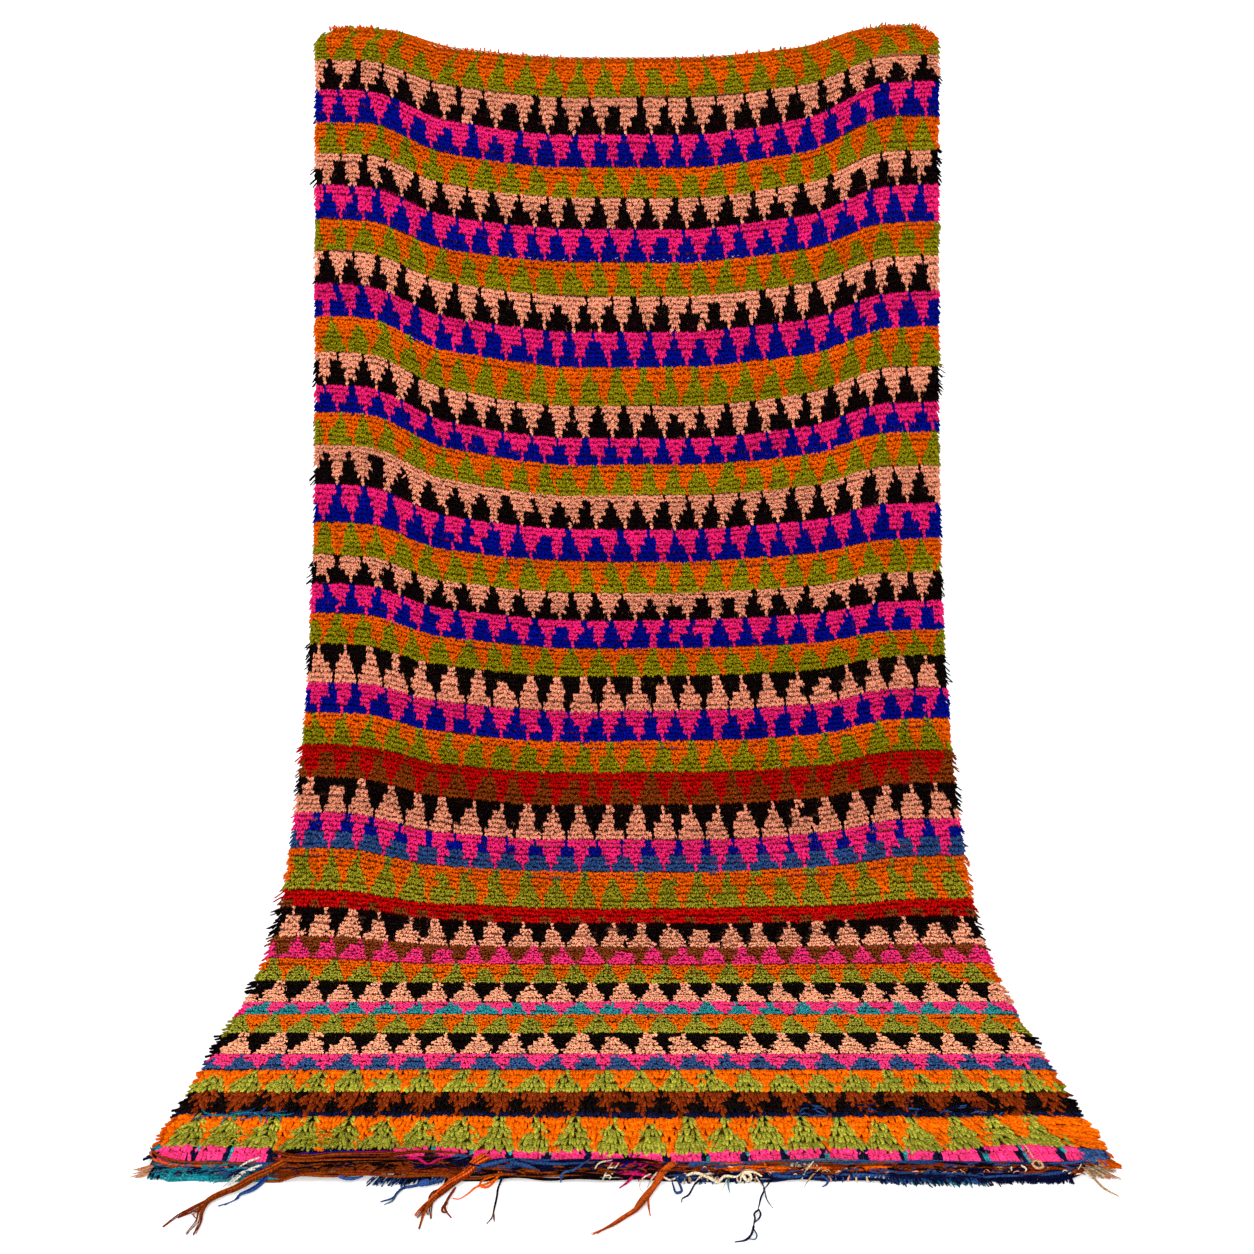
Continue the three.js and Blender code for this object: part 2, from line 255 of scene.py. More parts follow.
def make_floor():
    """A sheet of white paper: a plane whose back edge is pulled up and rounded."""
    bpy.ops.object.select_all(action="DESELECT")
    bpy.ops.mesh.primitive_plane_add(size=1, location=(0, PAPER_MIDDLE, 0))
    floor = bpy.context.object
    floor.name = floor.data.name = "studio_floor"
    floor.scale = (PAPER_WIDTH, PAPER_DEPTH, 1)
    bpy.ops.object.transform_apply(location=True, rotation=False, scale=True)
    for edge in floor.data.edges:
        edge.select = all(floor.data.vertices[k].co.y > 0 for k in edge.vertices)
    bpy.ops.object.mode_set(mode="EDIT")
    bpy.ops.mesh.select_mode(type="EDGE")
    bpy.ops.mesh.extrude_region_move(TRANSFORM_OT_translate={"value": (0, 0, PAPER_WALL)})
    bpy.ops.object.mode_set(mode="OBJECT")
    bevel = floor.modifiers.new("paper_curve", "BEVEL")
    bevel.width, bevel.segments = PAPER_CURVE, 12
    bpy.ops.object.modifier_apply(modifier="paper_curve")
    floor.data.shade_smooth()
    material, start = new_material("studio_paper")
    place = start.node("ShaderNodeTexCoord", {}, {}, 3)
    cloud = start.node("ShaderNodeTexNoise", {}, {"Vector": place, "Scale": 1.5})
    grey = 0.9 + 0.02 * cloud
    colour = start.node("ShaderNodeCombineColor", {}, {0: grey, 1: grey, 2: grey})
    surface(start, colour, 0.9, glow=PAPER_GLOW)
    # the glow is too weak and even to be worth aiming rays at
    material.cycles.emission_sampling = "NONE"
    floor.data.materials.append(material)


def soft_light(name, place, aim, size, power):
    data = bpy.data.lights.new(name, "AREA")
    data.shape = "RECTANGLE"
    data.size, data.size_y = size
    data.energy = power
    light = bpy.data.objects.new(name, data)
    bpy.context.collection.objects.link(light)
    light.location = place
    way = np.array(aim) - np.array(place)
    tilt = math.acos(-way[2] / np.linalg.norm(way))
    light.rotation_euler = (tilt, 0, math.atan2(-way[0], way[1]))


make_floor()
for light_row in LIGHTS:
    soft_light(*light_row)
world = bpy.data.worlds.new("studio_world")
world.use_nodes = True
world.node_tree.nodes["Background"].inputs[0].default_value = (1, 1, 1, 1)
world.node_tree.nodes["Background"].inputs[1].default_value = WORLD_LIGHT
bpy.context.scene.world = world

# %% [markdown]
# ## The wools
#
# The yarns are strongly dyed, and no two knots are quite the same shade. The shades are given as
# they look in print and turned to the linear numbers that the renderer works with.

# %% Dyed yarn colours
WOOLS = {
    "orange": (236, 94, 4), "olive": (142, 132, 12), "peach": (247, 155, 121),
    "black": (17, 9, 9), "pink": (247, 34, 118), "royal": (4, 14, 136), "red": (188, 8, 8),
    "brown": (128, 54, 12), "steel": (42, 72, 126), "teal": (18, 126, 140),
    "rust": (124, 42, 12), "navy": (14, 18, 52), "cream": (228, 206, 172),
    "slate": (70, 92, 108), "tan": (198, 152, 106), "turquoise": (36, 146, 156),
    "copper": (204, 78, 20), "amber": (168, 74, 20), "magenta": (178, 18, 84),
    "white": (226, 220, 208), "lime": (174, 172, 62),
}


def linear(shade):
    """The usual screen curve undone: from 0 to 255 as printed to 0 to 1 as light."""
    value = np.array(shade, dtype=float) / 255
    return np.where(value <= 0.04045, value / 12.92, ((value + 0.055) / 1.055) ** 2.4)


WOOL_NAMES = list(WOOLS)
WOOL_COLOURS = np.array([linear(WOOLS[name]) for name in WOOL_NAMES])
WOOL = {name: index for index, name in enumerate(WOOL_NAMES)}

# %% [markdown]
# ## The knot chart
#
# A weaver knots this pattern from memory: each band has one colour on top and one at its foot.
# A triangle of the top colour starts nearly eight knots wide and loses about two in each row, so
# one colour points down and the other up. Counting by eye gives wider and narrower triangles and
# now and then a knot too many. So the chart is worked out row by row, with a counted loop and a
# few slips, and no picture is needed.

# %% The bands, from the top edge to the front end
# height in mm, rows of knots, colour on top, colour at the foot, share of slips
BANDS = [
    (78.8, 5, "orange", "olive", 0.22), (85.8, 4, "peach", "black", 0.07),
    (76.4, 4, "pink", "royal", 0.07), (71.2, 4, "orange", "olive", 0.07),
    (71.9, 4, "peach", "black", 0.07), (76.3, 4, "pink", "royal", 0.07),
    (78.7, 4, "orange", "olive", 0.11), (83.0, 4, "peach", "black", 0.1),
    (81.3, 4, "pink", "royal", 0.1), (91.4, 5, "orange", "olive", 0.12),
    (74.3, 4, "peach", "black", 0.07), (61.8, 3, "pink", "royal", 0.06),
    (72.1, 4, "orange", "olive", 0.11), (78.4, 5, "peach", "black", 0.08),
    (73.8, 4, "pink", "royal", 0.07), (72.5, 4, "orange", "olive", 0.1),
    (62.8, 4, "peach", "black", 0.16), (63.6, 4, "pink", "royal", 0.1),
    (63.1, 4, "orange", "olive", 0.13), (76.6, 4, "black", "peach", 0.1),
    (67.4, 4, "pink", "royal", 0.07), (69.3, 4, "orange", "olive", 0.15),
    (71.4, 4, "red", "brown", 0.22), (77.2, 4, "black", "peach", 0.07),
    (72.2, 4, "pink", "steel", 0.08), (83.0, 5, "orange", "olive", 0.3),
    (35.5, 2, "red", "brown", 0.06), (65.7, 4, "black", "peach", 0.08),
    (55.3, 4, "brown", "pink", 0.04), (66.7, 4, "orange", "olive", 0.04),
    (73.3, 5, "black", "peach", 0.06), (50.1, 4, "pink", "teal", 0.06),
    (77.0, 5, "orange", "olive", 0.04), (80.9, 5, "black", "peach", 0.06),
    (55.9, 4, "pink", "steel", 0.05), (74.6, 5, "orange", "olive", 0.07),
    (83.3, 5, "rust", "black", 0.26), (108.2, 6, "orange", "olive", 0.07),
    (18.5, 2, "pink", "navy", 0.0),
]
KNOTS = 192
TOP_HEM = 6.0
MOTIF_KNOTS = 8
WIDEST, NARROWEST = 6.8, 1.0
UNEVEN_MOTIFS = 0.2
SLIP, WOBBLE = 1.4, 0.25
LAST_ROYAL_BAND = 29
HALF_PEACH_BAND, PEACH_KNOTS = 13, KNOTS // 2 + 8
DARK_KNOTS, STEEL_KNOTS, ORANGE_KNOTS = slice(26, 48), 4, 5
chart_random = np.random.default_rng(11)


def motif_starts(index):
    """Where the triangles of one band start, as knot numbers across the rug."""
    count = KNOTS // MOTIF_KNOTS + 2
    widths = np.full(count, MOTIF_KNOTS)
    for place in range(count - 1):
        if chart_random.random() < UNEVEN_MOTIFS:
            widths[place] -= 1
            widths[place + 1] += 1
    offset = (index % 2) * MOTIF_KNOTS // 2 + chart_random.integers(-1, 2)
    return np.concatenate([[0], np.cumsum(widths)]) - MOTIF_KNOTS + offset, widths


def chart_row(index, row):
    """The colours of one row of knots, from left to right, with the odd stretches of some bands."""
    height, rows, top, foot, slips = BANDS[index]
    starts, widths = band_motifs[index]
    colours = np.full(KNOTS, WOOL[foot])
    if foot == "steel" and row < 2 and index <= LAST_ROYAL_BAND:
        colours[:] = WOOL["royal"]
    if top == "rust" and row == rows - 1:
        colours[:] = WOOL["navy"]
    for start, width in zip(starts, widths):
        wide = (WIDEST - (WIDEST - NARROWEST) * row / (rows - 1)) * width / MOTIF_KNOTS
        if foot == "brown" and rows == 2:
            wide = width - 3 * row
        if foot == "navy":
            wide = width - 2
        middle = start + width / 2
        if chart_random.random() < slips:
            wide += chart_random.uniform(-SLIP, SLIP)
            middle += chart_random.integers(-1, 2)
        low = round(middle - wide / 2 + chart_random.uniform(-WOBBLE, WOBBLE))
        high = round(middle + wide / 2 + chart_random.uniform(-WOBBLE, WOBBLE))
        low, high = max(0, low), min(KNOTS, max(low + 1, high))
        if high > low:
            colours[low:high] = WOOL[top]
        if foot == "navy" and 0 <= start < KNOTS and chart_random.random() < 0.4:
            colours[start] = WOOL["teal"]
    if index == HALF_PEACH_BAND and row == 0:
        colours[:PEACH_KNOTS] = WOOL["peach"]
    if foot == "navy":
        dark = chart_random.random(DARK_KNOTS.stop - DARK_KNOTS.start) < 0.6
        colours[DARK_KNOTS] = np.where(dark, WOOL["navy"], WOOL["black"])
        colours[-STEEL_KNOTS:] = WOOL["steel"]
    if rows == 6:
        colours[-ORANGE_KNOTS:] = WOOL["orange"]
    return colours


# %% Chart all rows
band_motifs = [motif_starts(index) for index in range(len(BANDS))]
chart, row_heights = [], []
for index, (height, rows, top, foot, slips) in enumerate(BANDS):
    for row in range(rows):
        chart.append(chart_row(index, row))
        row_heights.append(height / rows)
chart = np.array(chart)
ROWS = len(chart)
row_heights = np.array(row_heights)
row_lines = CENTRE_LENGTH - TOP_HEM - np.concatenate([[0], np.cumsum(row_heights)])
print("rows of knots:", ROWS, "knots:", chart.size, "last line:", round(row_lines[-1], 1))


# %% The rounded top corners
def corner_share(line):
    """How far the top corners draw a row in: 1 below them, and less towards the top edge."""
    bend = np.maximum(0.0, CORNER_ROUND - (CENTRE_LENGTH - line))
    inset = CORNER_ROUND - np.sqrt(CORNER_ROUND ** 2 - bend ** 2)
    return 1 - inset / (BODY_WIDTH / 2)


# %% [markdown]
# ## Mesh helpers
#
# Thirty thousand knots can't be placed by hand. A knot is modelled once, as a few corners, and
# NumPy repeats it along every row at once, so each stretch of pile becomes one joined mesh.

# %% From arrays to an object
def add_object(name, mesh, material):
    mesh.materials.append(material)
    piece = bpy.data.objects.new(name, mesh)
    bpy.context.collection.objects.link(piece)
    return piece


def add_uv(mesh, name, values):
    layer = mesh.uv_layers.new(name=name)
    layer.data.foreach_set("uv", np.asarray(values, dtype=np.float32).ravel())


def triangle_mesh(name, points, triangles, colours, along, cells, turns):
    """A mesh from arrays, with two UV maps and each corner's colour and place along its yarn."""
    mesh = bpy.data.meshes.new(name)
    mesh.vertices.add(len(points))
    mesh.vertices.foreach_set("co", np.asarray(points, dtype=np.float32).ravel())
    mesh.loops.add(triangles.size)
    mesh.loops.foreach_set("vertex_index", triangles.astype(np.int32).ravel())
    mesh.polygons.add(len(triangles))
    mesh.polygons.foreach_set("loop_start", np.arange(0, triangles.size, 3, dtype=np.int32))
    mesh.update(calc_edges=True)
    mesh.shade_smooth()
    add_uv(mesh, "OFBake", cells)
    add_uv(mesh, "yarn_turns", turns)
    layer = mesh.color_attributes.new("yarn_colour", "FLOAT_COLOR", "POINT")
    rgba = np.ones((len(points), 4), dtype=np.float32)
    rgba[:, :3] = colours
    layer.data.foreach_set("color", rgba.ravel())
    layer = mesh.attributes.new("along_yarn", "FLOAT", "POINT")
    layer.data.foreach_set("value", np.asarray(along, dtype=np.float32).ravel())
    return mesh


# %% One end of pile yarn: a root, rings of three corners and a tip
RING = np.radians([270, 30, 150])
RING_SIZE = 0.58
LEAST_HEIGHT = 0.4
TWIST_PITCH = 6
GOLDEN_STEP = 0.618


def yarn_shape(places, rises, tip_rise):
    """Where the corners of one yarn end are along it, how high, and its triangles."""
    along = np.concatenate([[0.0], np.repeat(places, 3), [1.0]])
    rise = np.concatenate([[0.0], np.repeat(rises, 3), [tip_rise]])
    tip = 1 + 3 * len(places)
    triangles, uv = [], []
    for k in range(3):
        n = (k + 1) % 3
        low, high, middle = k / 3, (k + 1) / 3, (k + 0.5) / 3
        first, last = places[0], places[-1]
        triangles += [(1 + n, 1 + k, 0), (tip - 3 + k, tip - 3 + n, tip)]
        uv += [((high, first), (low, first), (middle, 0)), ((low, last), (high, last), (middle, 1))]
        for ring, (one, two) in enumerate(zip(places[:-1], places[1:])):
            a = 1 + 3 * ring
            triangles += [(a + k, a + n, a + 3 + n), (a + k, a + 3 + n, a + 3 + k)]
            uv += [((low, one), (high, one), (high, two)), ((low, one), (high, two), (low, two))]
    return along, rise, np.array(triangles), np.array(uv, dtype=float)


LOCK = yarn_shape([0.28, 0.9], [0.72, 1.0], 0.86)
STITCH = yarn_shape([0.62], [0.84], 1.0)


def tuft_arrays(
        x, run, length, lean, width, thick, root, lift, roll, bend=1.6, droop=0.0, shape=LOCK):
    """Corners of many yarn ends in cloth numbers: x, run and height."""
    along, rise, _, _ = shape
    n, corners = len(x), len(along)
    angle = np.tile(RING, corners // 3)[None, :] + roll[:, None]
    across = np.zeros((n, corners))
    over = np.zeros((n, corners))
    across[:, 1:-1] = np.cos(angle) * RING_SIZE * width[:, None]
    over[:, 1:-1] = np.sin(angle) * RING_SIZE * thick[:, None]
    px = x[:, None] + lean[:, None] * along[None, :] ** bend + across
    prun = run[:, None] - length[:, None] * along[None, :]
    ph = root[:, None] + (lift - root)[:, None] * rise[None, :] + over - droop * along[None, :] ** 2
    return px, prun, ph


def tuft_mesh(name, parts, colours, length, material, shape=LOCK):
    """All these yarn ends as one piece, each with its own cell of the bake map."""
    px, prun, ph = parts
    along, _, triangles, uv = shape
    n, corners = px.shape
    points = to_frame(cloth_point(px, prun, np.maximum(ph, LEAST_HEIGHT)))
    triangles = (triangles[None] + corners * np.arange(n)[:, None, None]).reshape(-1, 3)
    side = int(math.ceil(math.sqrt(n)))
    cell = np.stack([np.arange(n) % side, np.arange(n) // side], axis=-1)
    cells = (cell[:, None, None, :] + 0.06 + 0.88 * uv[None]) / side
    turns = uv[None] * np.stack([np.ones(n), length / TWIST_PITCH], axis=-1)[:, None, None, :]
    turns[..., 1] += (np.arange(n) * GOLDEN_STEP % 1)[:, None, None]
    mesh = triangle_mesh(
        name, points, triangles, np.repeat(colours, corners, axis=0), np.tile(along, n), cells, turns)
    return add_object(name, mesh, material)


# %% [markdown]
# ## Wool material
#
# The pile is thick wool of two plies, matt, with loose fibres. A flat colour would look like
# plastic. The colour comes with each knot, and the shader adds what is finer than a knot: slow
# fading, fibres, the twist of the plies, and painted shade in small gaps between the stitches,
# in the grooves between the plies and at the roots, which the ends of the row above keep dark.

# %% Pile wool
FULL_TURN = 2 * math.pi
# scales of the uneven tone, of the patches of painted shade for gaps, and of the fibres
FADE_SCALE, PAINTED_GAP_SCALE, FIBRE_SCALE = 9.0, 230.0, 420.0
TWIST_SHARE = 0.6


def make_wool(name, root_painted_shade, ply_painted_shade):
    """Wool in its piece's yarn_colour, with painted shade at the root, between plies and in gaps."""
    material, start = new_material(name)
    place = start.node("ShaderNodeTexCoord", {}, {}, 3)
    dye = start.node("ShaderNodeAttribute", {"attribute_name": "yarn_colour"}, {}, 0)
    along = start.node("ShaderNodeAttribute", {"attribute_name": "along_yarn"}, {}, 2)
    turns = start.node("ShaderNodeUVMap", {"uv_map": "yarn_turns"})
    turn_u = start.node("ShaderNodeSeparateXYZ", {}, {0: turns}, 0)
    turn_v = start.node("ShaderNodeSeparateXYZ", {}, {0: turns}, 1)
    fade, fibre, gaps = (
        start.node("ShaderNodeTexNoise", {}, {"Vector": place, "Scale": scale, "Detail": 0.0})
        for scale in (FADE_SCALE, FIBRE_SCALE, PAINTED_GAP_SCALE))
    twist = start.math("SINE", (turn_u + turn_v) * FULL_TURN, 0.0)
    # painted shade: dark patches that stand for the gaps between stitches
    painted_gap_shade = start.node(
        "ShaderNodeMapRange", {"interpolation_type": "SMOOTHSTEP"},
        {0: gaps, 1: 0.36, 2: 0.46, 3: 0.62, 4: 1.0})
    # painted shade: darker towards each end's root, under the row above, and in the gap patches; the fade
    # noise is the wool's uneven tone
    shade = (root_painted_shade + (1.0 - root_painted_shade) * along) * (0.88 + 0.24 * fade) * painted_gap_shade
    # painted shade in the grooves between the twisted plies
    ply = 1.0 - ply_painted_shade + ply_painted_shade * twist
    colour = scaled(start, dye, shade * (0.84 + 0.32 * fibre) * ply)
    height = twist * TWIST_SHARE + fibre * (1.0 - TWIST_SHARE)
    surface(start, colour, 0.72 + 0.25 * fibre, height, 0.8, 0.0013)
    return material


# the two numbers are the painted shade at the root and between the plies
pile_wool = make_wool("knotted_wool", 0.86, 0.14)
edge_wool = make_wool("loose_wool", 0.85, 0.16)

# %% [markdown]
# ## The woven ground
#
# Behind the pile is the ground: warps, wefts and the backs of the knots, which show the same
# pattern as small flat stitches between thin lines of weft. It is one closed sheet. Its back has
# one face for each knot, so that each stitch gets its own colour. Its front, which the pile
# hides, has a quarter as many and has the pattern's colours darkened: painted shade for the gaps.

# %% Ground corners and faces
FRONT_STEP = 2
GROUND_THICKNESS = 6.0
# the front shows only through gaps in the pile, so its pattern colours are darkened as painted shade
FRONT_PAINTED_SHADE = 0.62


def ground_grid(columns, lines, height):
    x, line = np.meshgrid((columns / KNOTS - 0.5) * BODY_WIDTH, lines)
    return cloth_point(x * corner_share(line), run_at(x, line), height + 0 * x)


lines_up = row_lines[::-1].copy()
lines_up[0], lines_up[-1] = 0.0, CENTRE_LENGTH
front_columns = np.arange(0, KNOTS + 1, FRONT_STEP)
front_lines = np.arange(0, ROWS + 1, FRONT_STEP)
back_points = ground_grid(np.arange(KNOTS + 1), lines_up, 0.0)
front_points = ground_grid(front_columns, lines_up[front_lines], GROUND_THICKNESS)
back_id = np.arange(back_points[..., 0].size).reshape(back_points.shape[:2])
front_id = back_id.size + np.arange(front_points[..., 0].size).reshape(front_points.shape[:2])


def back_faces():
    """A face for each knot, with its place in the chart as UV."""
    faces, places = [], []
    for j in range(ROWS):
        for i in range(KNOTS):
            faces.append((back_id[j, i], back_id[j + 1, i], back_id[j + 1, i + 1], back_id[j, i + 1]))
            places += [(i, j), (i, j + 1), (i + 1, j + 1), (i + 1, j)]
    return faces, places


def front_faces():
    """The coarse front, and the rim where its long edges meet the short ones of the back."""
    rows, columns = len(front_lines) - 1, len(front_columns) - 1
    fine = np.arange(FRONT_STEP + 1)
    faces = []
    for j in range(rows):
        for i in range(columns):
            faces.append((front_id[j, i], front_id[j, i + 1], front_id[j + 1, i + 1], front_id[j + 1, i]))
    for j in range(rows):
        left, right = back_id[j * FRONT_STEP + fine, 0], back_id[j * FRONT_STEP + fine, KNOTS]
        faces.append((left[0], front_id[j, 0], front_id[j + 1, 0], *left[:0:-1]))
        faces.append((*right, front_id[j + 1, columns], front_id[j, columns]))
    for i in range(columns):
        low, high = back_id[0, i * FRONT_STEP + fine], back_id[ROWS, i * FRONT_STEP + fine]
        faces.append((*low, front_id[0, i + 1], front_id[0, i]))
        faces.append((high[0], front_id[rows, i], front_id[rows, i + 1], *high[:0:-1]))
    return faces


def corner_place(corner):
    """The place in the chart of any corner of the front or the rim."""
    if corner < back_id.size:
        return corner % (KNOTS + 1), corner // (KNOTS + 1)
    j, i = divmod(corner - back_id.size, len(front_columns))
    return front_columns[i], front_lines[j]


knot_colours = WOOL_COLOURS[chart[::-1]]
ground_faces, ground_uv = back_faces()
ground_shades = np.repeat(knot_colours.reshape(-1, 3), 4, axis=0)
rim_faces = front_faces()
rim_uv = np.array([corner_place(corner) for face in rim_faces for corner in face])
rim_knots = np.minimum(rim_uv, (KNOTS - 1, ROWS - 1))
# front and rim in the pattern's colours, darkened as painted shade
rim_shades = knot_colours[rim_knots[:, 1], rim_knots[:, 0]] * FRONT_PAINTED_SHADE
all_points = np.concatenate([back_points.reshape(-1, 3), front_points.reshape(-1, 3)])
print("ground faces:", len(ground_faces) + len(rim_faces))

# %% Ground object
back_corners = len(ground_uv)
ground_uv = np.concatenate([ground_uv, rim_uv]).astype(float)
ground_rgba = np.ones((len(ground_uv), 4), dtype=np.float32)
ground_rgba[:, :3] = np.concatenate([ground_shades, rim_shades])
ground_mesh = bpy.data.meshes.new("woven_ground")
ground_mesh.from_pydata(
    to_frame(all_points).tolist(), [], [tuple(map(int, face)) for face in ground_faces + rim_faces])
bake_uv = ground_uv / (KNOTS, ROWS) * (0.48, 0.98) + (0.01, 0.01)
bake_uv[back_corners:, 0] += 0.5
# halfway up a row, so that the front shows no lines of weft
ground_uv[back_corners:, 1] = 0.5
add_uv(ground_mesh, "OFBake", bake_uv)
add_uv(ground_mesh, "knot_grid", ground_uv)
layer = ground_mesh.color_attributes.new("yarn_colour", "FLOAT_COLOR", "CORNER")
layer.data.foreach_set("color", ground_rgba.ravel())
ground_mesh.shade_smooth()


def make_ground_wool():
    """Knot backs in the dye of the pattern, and between the rows some shots of brown weft."""
    material, start = new_material("woven_ground_wool")
    place = start.node("ShaderNodeTexCoord", {}, {}, 3)
    dye = start.node("ShaderNodeAttribute", {"attribute_name": "yarn_colour"}, {}, 0)
    grid = start.node("ShaderNodeUVMap", {"uv_map": "knot_grid"})
    u = start.node("ShaderNodeSeparateXYZ", {}, {0: grid}, 0)
    v = start.node("ShaderNodeSeparateXYZ", {}, {0: grid}, 1)
    wobble = start.node("ShaderNodeTexNoise", {}, {"Vector": place, "Scale": 60.0})
    fibre = start.node("ShaderNodeTexNoise", {}, {"Vector": place, "Scale": 800.0, "Detail": 2.0})
    row_place = start.math("FRACT", v + 0.14 * wobble, 0.0)
    knot = start.node(
        "ShaderNodeMapRange", {"interpolation_type": "SMOOTHSTEP"},
        {0: start.math("ABSOLUTE", row_place - 0.5, 0.0), 1: 0.30, 2: 0.36, 3: 1.0, 4: 0.0})
    stitch = start.math("ABSOLUTE", start.math("SINE", u * FULL_TURN + 2.0 * wobble, 0.0), 0.0)
    shots = start.math("SINE", v * (8 * FULL_TURN) + 3.0 * wobble, 0.0)
    weft = start.node(
        "ShaderNodeMix", {"data_type": "RGBA"},
        {0: start.math("FRACT", start.math("FLOOR", v, 0.0) * 0.37, 0.0),
         6: (*linear((150, 128, 104)), 1), 7: (*linear((84, 62, 60)), 1)}, 2)
    mixed = start.node("ShaderNodeMix", {"data_type": "RGBA"}, {0: knot, 6: weft, 7: dye}, 2)
    # painted shade: darker in the grooves between the stitches and between the shots of weft; the fibre
    # noise is uneven tone
    colour = scaled(start, mixed, (0.62 + 0.3 * stitch * knot + 0.14 * shots) * (0.85 + 0.3 * fibre))
    height = knot * (0.5 + 0.5 * stitch) + (1.0 - knot) * (0.3 + 0.15 * shots) + 0.2 * fibre
    surface(start, colour, 0.8 + 0.15 * fibre, height, 0.8, 0.0016)
    return material


ground = add_object("woven_ground", ground_mesh, make_ground_wool())
print("ground made")

# %% [markdown]
# ## The pile
#
# Each knot leaves two ends of yarn that lie down the cloth and cover the roots of the row below,
# like shingles. Knots of one colour lean together, and the outer ones of each small block lean
# outwards, which gives the triangles their stepped skirts.
#
# Seen from a step away the pile is a grain of short loops, two for each row. So a row is drawn
# as two layers of short ends, each with few corners. Only the last rows, which lie close to the
# viewer on the floor and are longer and less even, get one layer of full locks.

# %% How each colour lies
# flare in mm, extra height, width
WOOL_LIE = {
    "peach": (3.0, 0.8, 1.05), "pink": (2.2, 0.5, 1.0), "orange": (-1.6, 0.2, 1.0),
    "olive": (2.6, 0.4, 1.0), "black": (0.6, 0.3, 1.05), "royal": (1.2, 0.2, 1.0),
}
LIE = np.array([WOOL_LIE.get(name, (1.8, 0.0, 1.0)) for name in WOOL_NAMES])

# x, then how far the last rows are pushed back from the front end, in mm
FRONT_WAVE = np.array([
    (-720, 27), (-629, 27), (-524, 12), (-361, 16), (-297, 22), (-244, 12), (-195, 10), (-127, 4),
    (-63, 11), (-20, -3), (58, -1), (118, 2), (192, 8), (256, 14), (320, 16), (378, 13), (448, 8),
    (505, 10), (550, 22), (612, 28), (676, 19), (720, 14),
], dtype=float)


def row_run(x, line):
    wave = np.interp(x, FRONT_WAVE[:, 0], FRONT_WAVE[:, 1])
    return run_at(x, line) + wave * smooth_step(0, 26, line) * smooth_step(170, 40, line)


def block_places(colours):
    """How far each knot is from the middle of its block of one colour, from -1 to 1."""
    places = np.zeros(len(colours))
    sizes = np.zeros(len(colours))
    edges = np.flatnonzero(np.diff(colours)) + 1
    for low, high in zip(np.concatenate([[0], edges]), np.concatenate([edges, [len(colours)]])):
        size = high - low
        sizes[low:high] = size
        if size > 1:
            places[low:high] = np.linspace(-1, 1, size)
    return places, sizes


# %% Dye lots, and painted light and sheen on the pile near the floor
LUMINANCE = np.array([0.2126, 0.7152, 0.0722])
# painted light and sheen on the pile near the floor: how much lighter it is painted, by channel, and how
# much grey; orange, red and rust get no grey
FLOOR_PAINTED_LIGHT = 0.19
FLOOR_LIGHT_GAIN = np.array([2.3, 3.3, 2.2])
FLOOR_SHEEN_GREY = 0.8
NO_SHEEN_DYES = [WOOL["orange"], WOOL["red"], WOOL["rust"]]


def pile_shades(row, line, wool, flat_x, bright):
    """Dye lots change a little from row to row; towards the floor painted light and sheen pale most dyes.
    """
    abrash = 1 + 0.07 * math.sin(row * 0.9) + 0.05 * np.sin(flat_x / 170 + row)
    shade = WOOL_COLOURS[wool] * (bright * abrash)[:, None]
    # painted light: the pile near the floor is painted lighter, and most wools greyer as a painted sheen
    floor_light = FLOOR_PAINTED_LIGHT * smooth_step(1136, 436, line)
    grey = floor_light * np.where(np.isin(wool, NO_SHEEN_DYES), 0.0, FLOOR_SHEEN_GREY)
    return shade * (1 + floor_light * FLOOR_LIGHT_GAIN) + (grey * (shade @ LUMINANCE))[:, None]


# %% One row of pile
LEG_KNOT = np.repeat(np.arange(KNOTS), 2)
LEG_SIDE = np.tile([-1.0, 1.0], KNOTS)
LEGS = 2 * KNOTS
ROOT_HEIGHT = 5.6
LOCK_WIDTH, STITCH_WIDTH, YARN_THICKNESS = 5.2, 5.6, 5.6
LOCK_LIFT, STITCH_LIFT, LAYER_LIFT = 11.6, 12.6, 0.7
LOCK_ROWS_LONG, STITCH_ROWS_LONG = 1.46, 2.0
LEAST_PITCH = 7.0
LAYER_SHIFT = 1.4
STRAY_SHARE = 0.012
WIDE_BLOCK = 7


def each_knot(random, scale):
    """One random number for each knot, the same for both its ends."""
    return np.repeat(random.normal(0, 1, KNOTS), 2) * scale


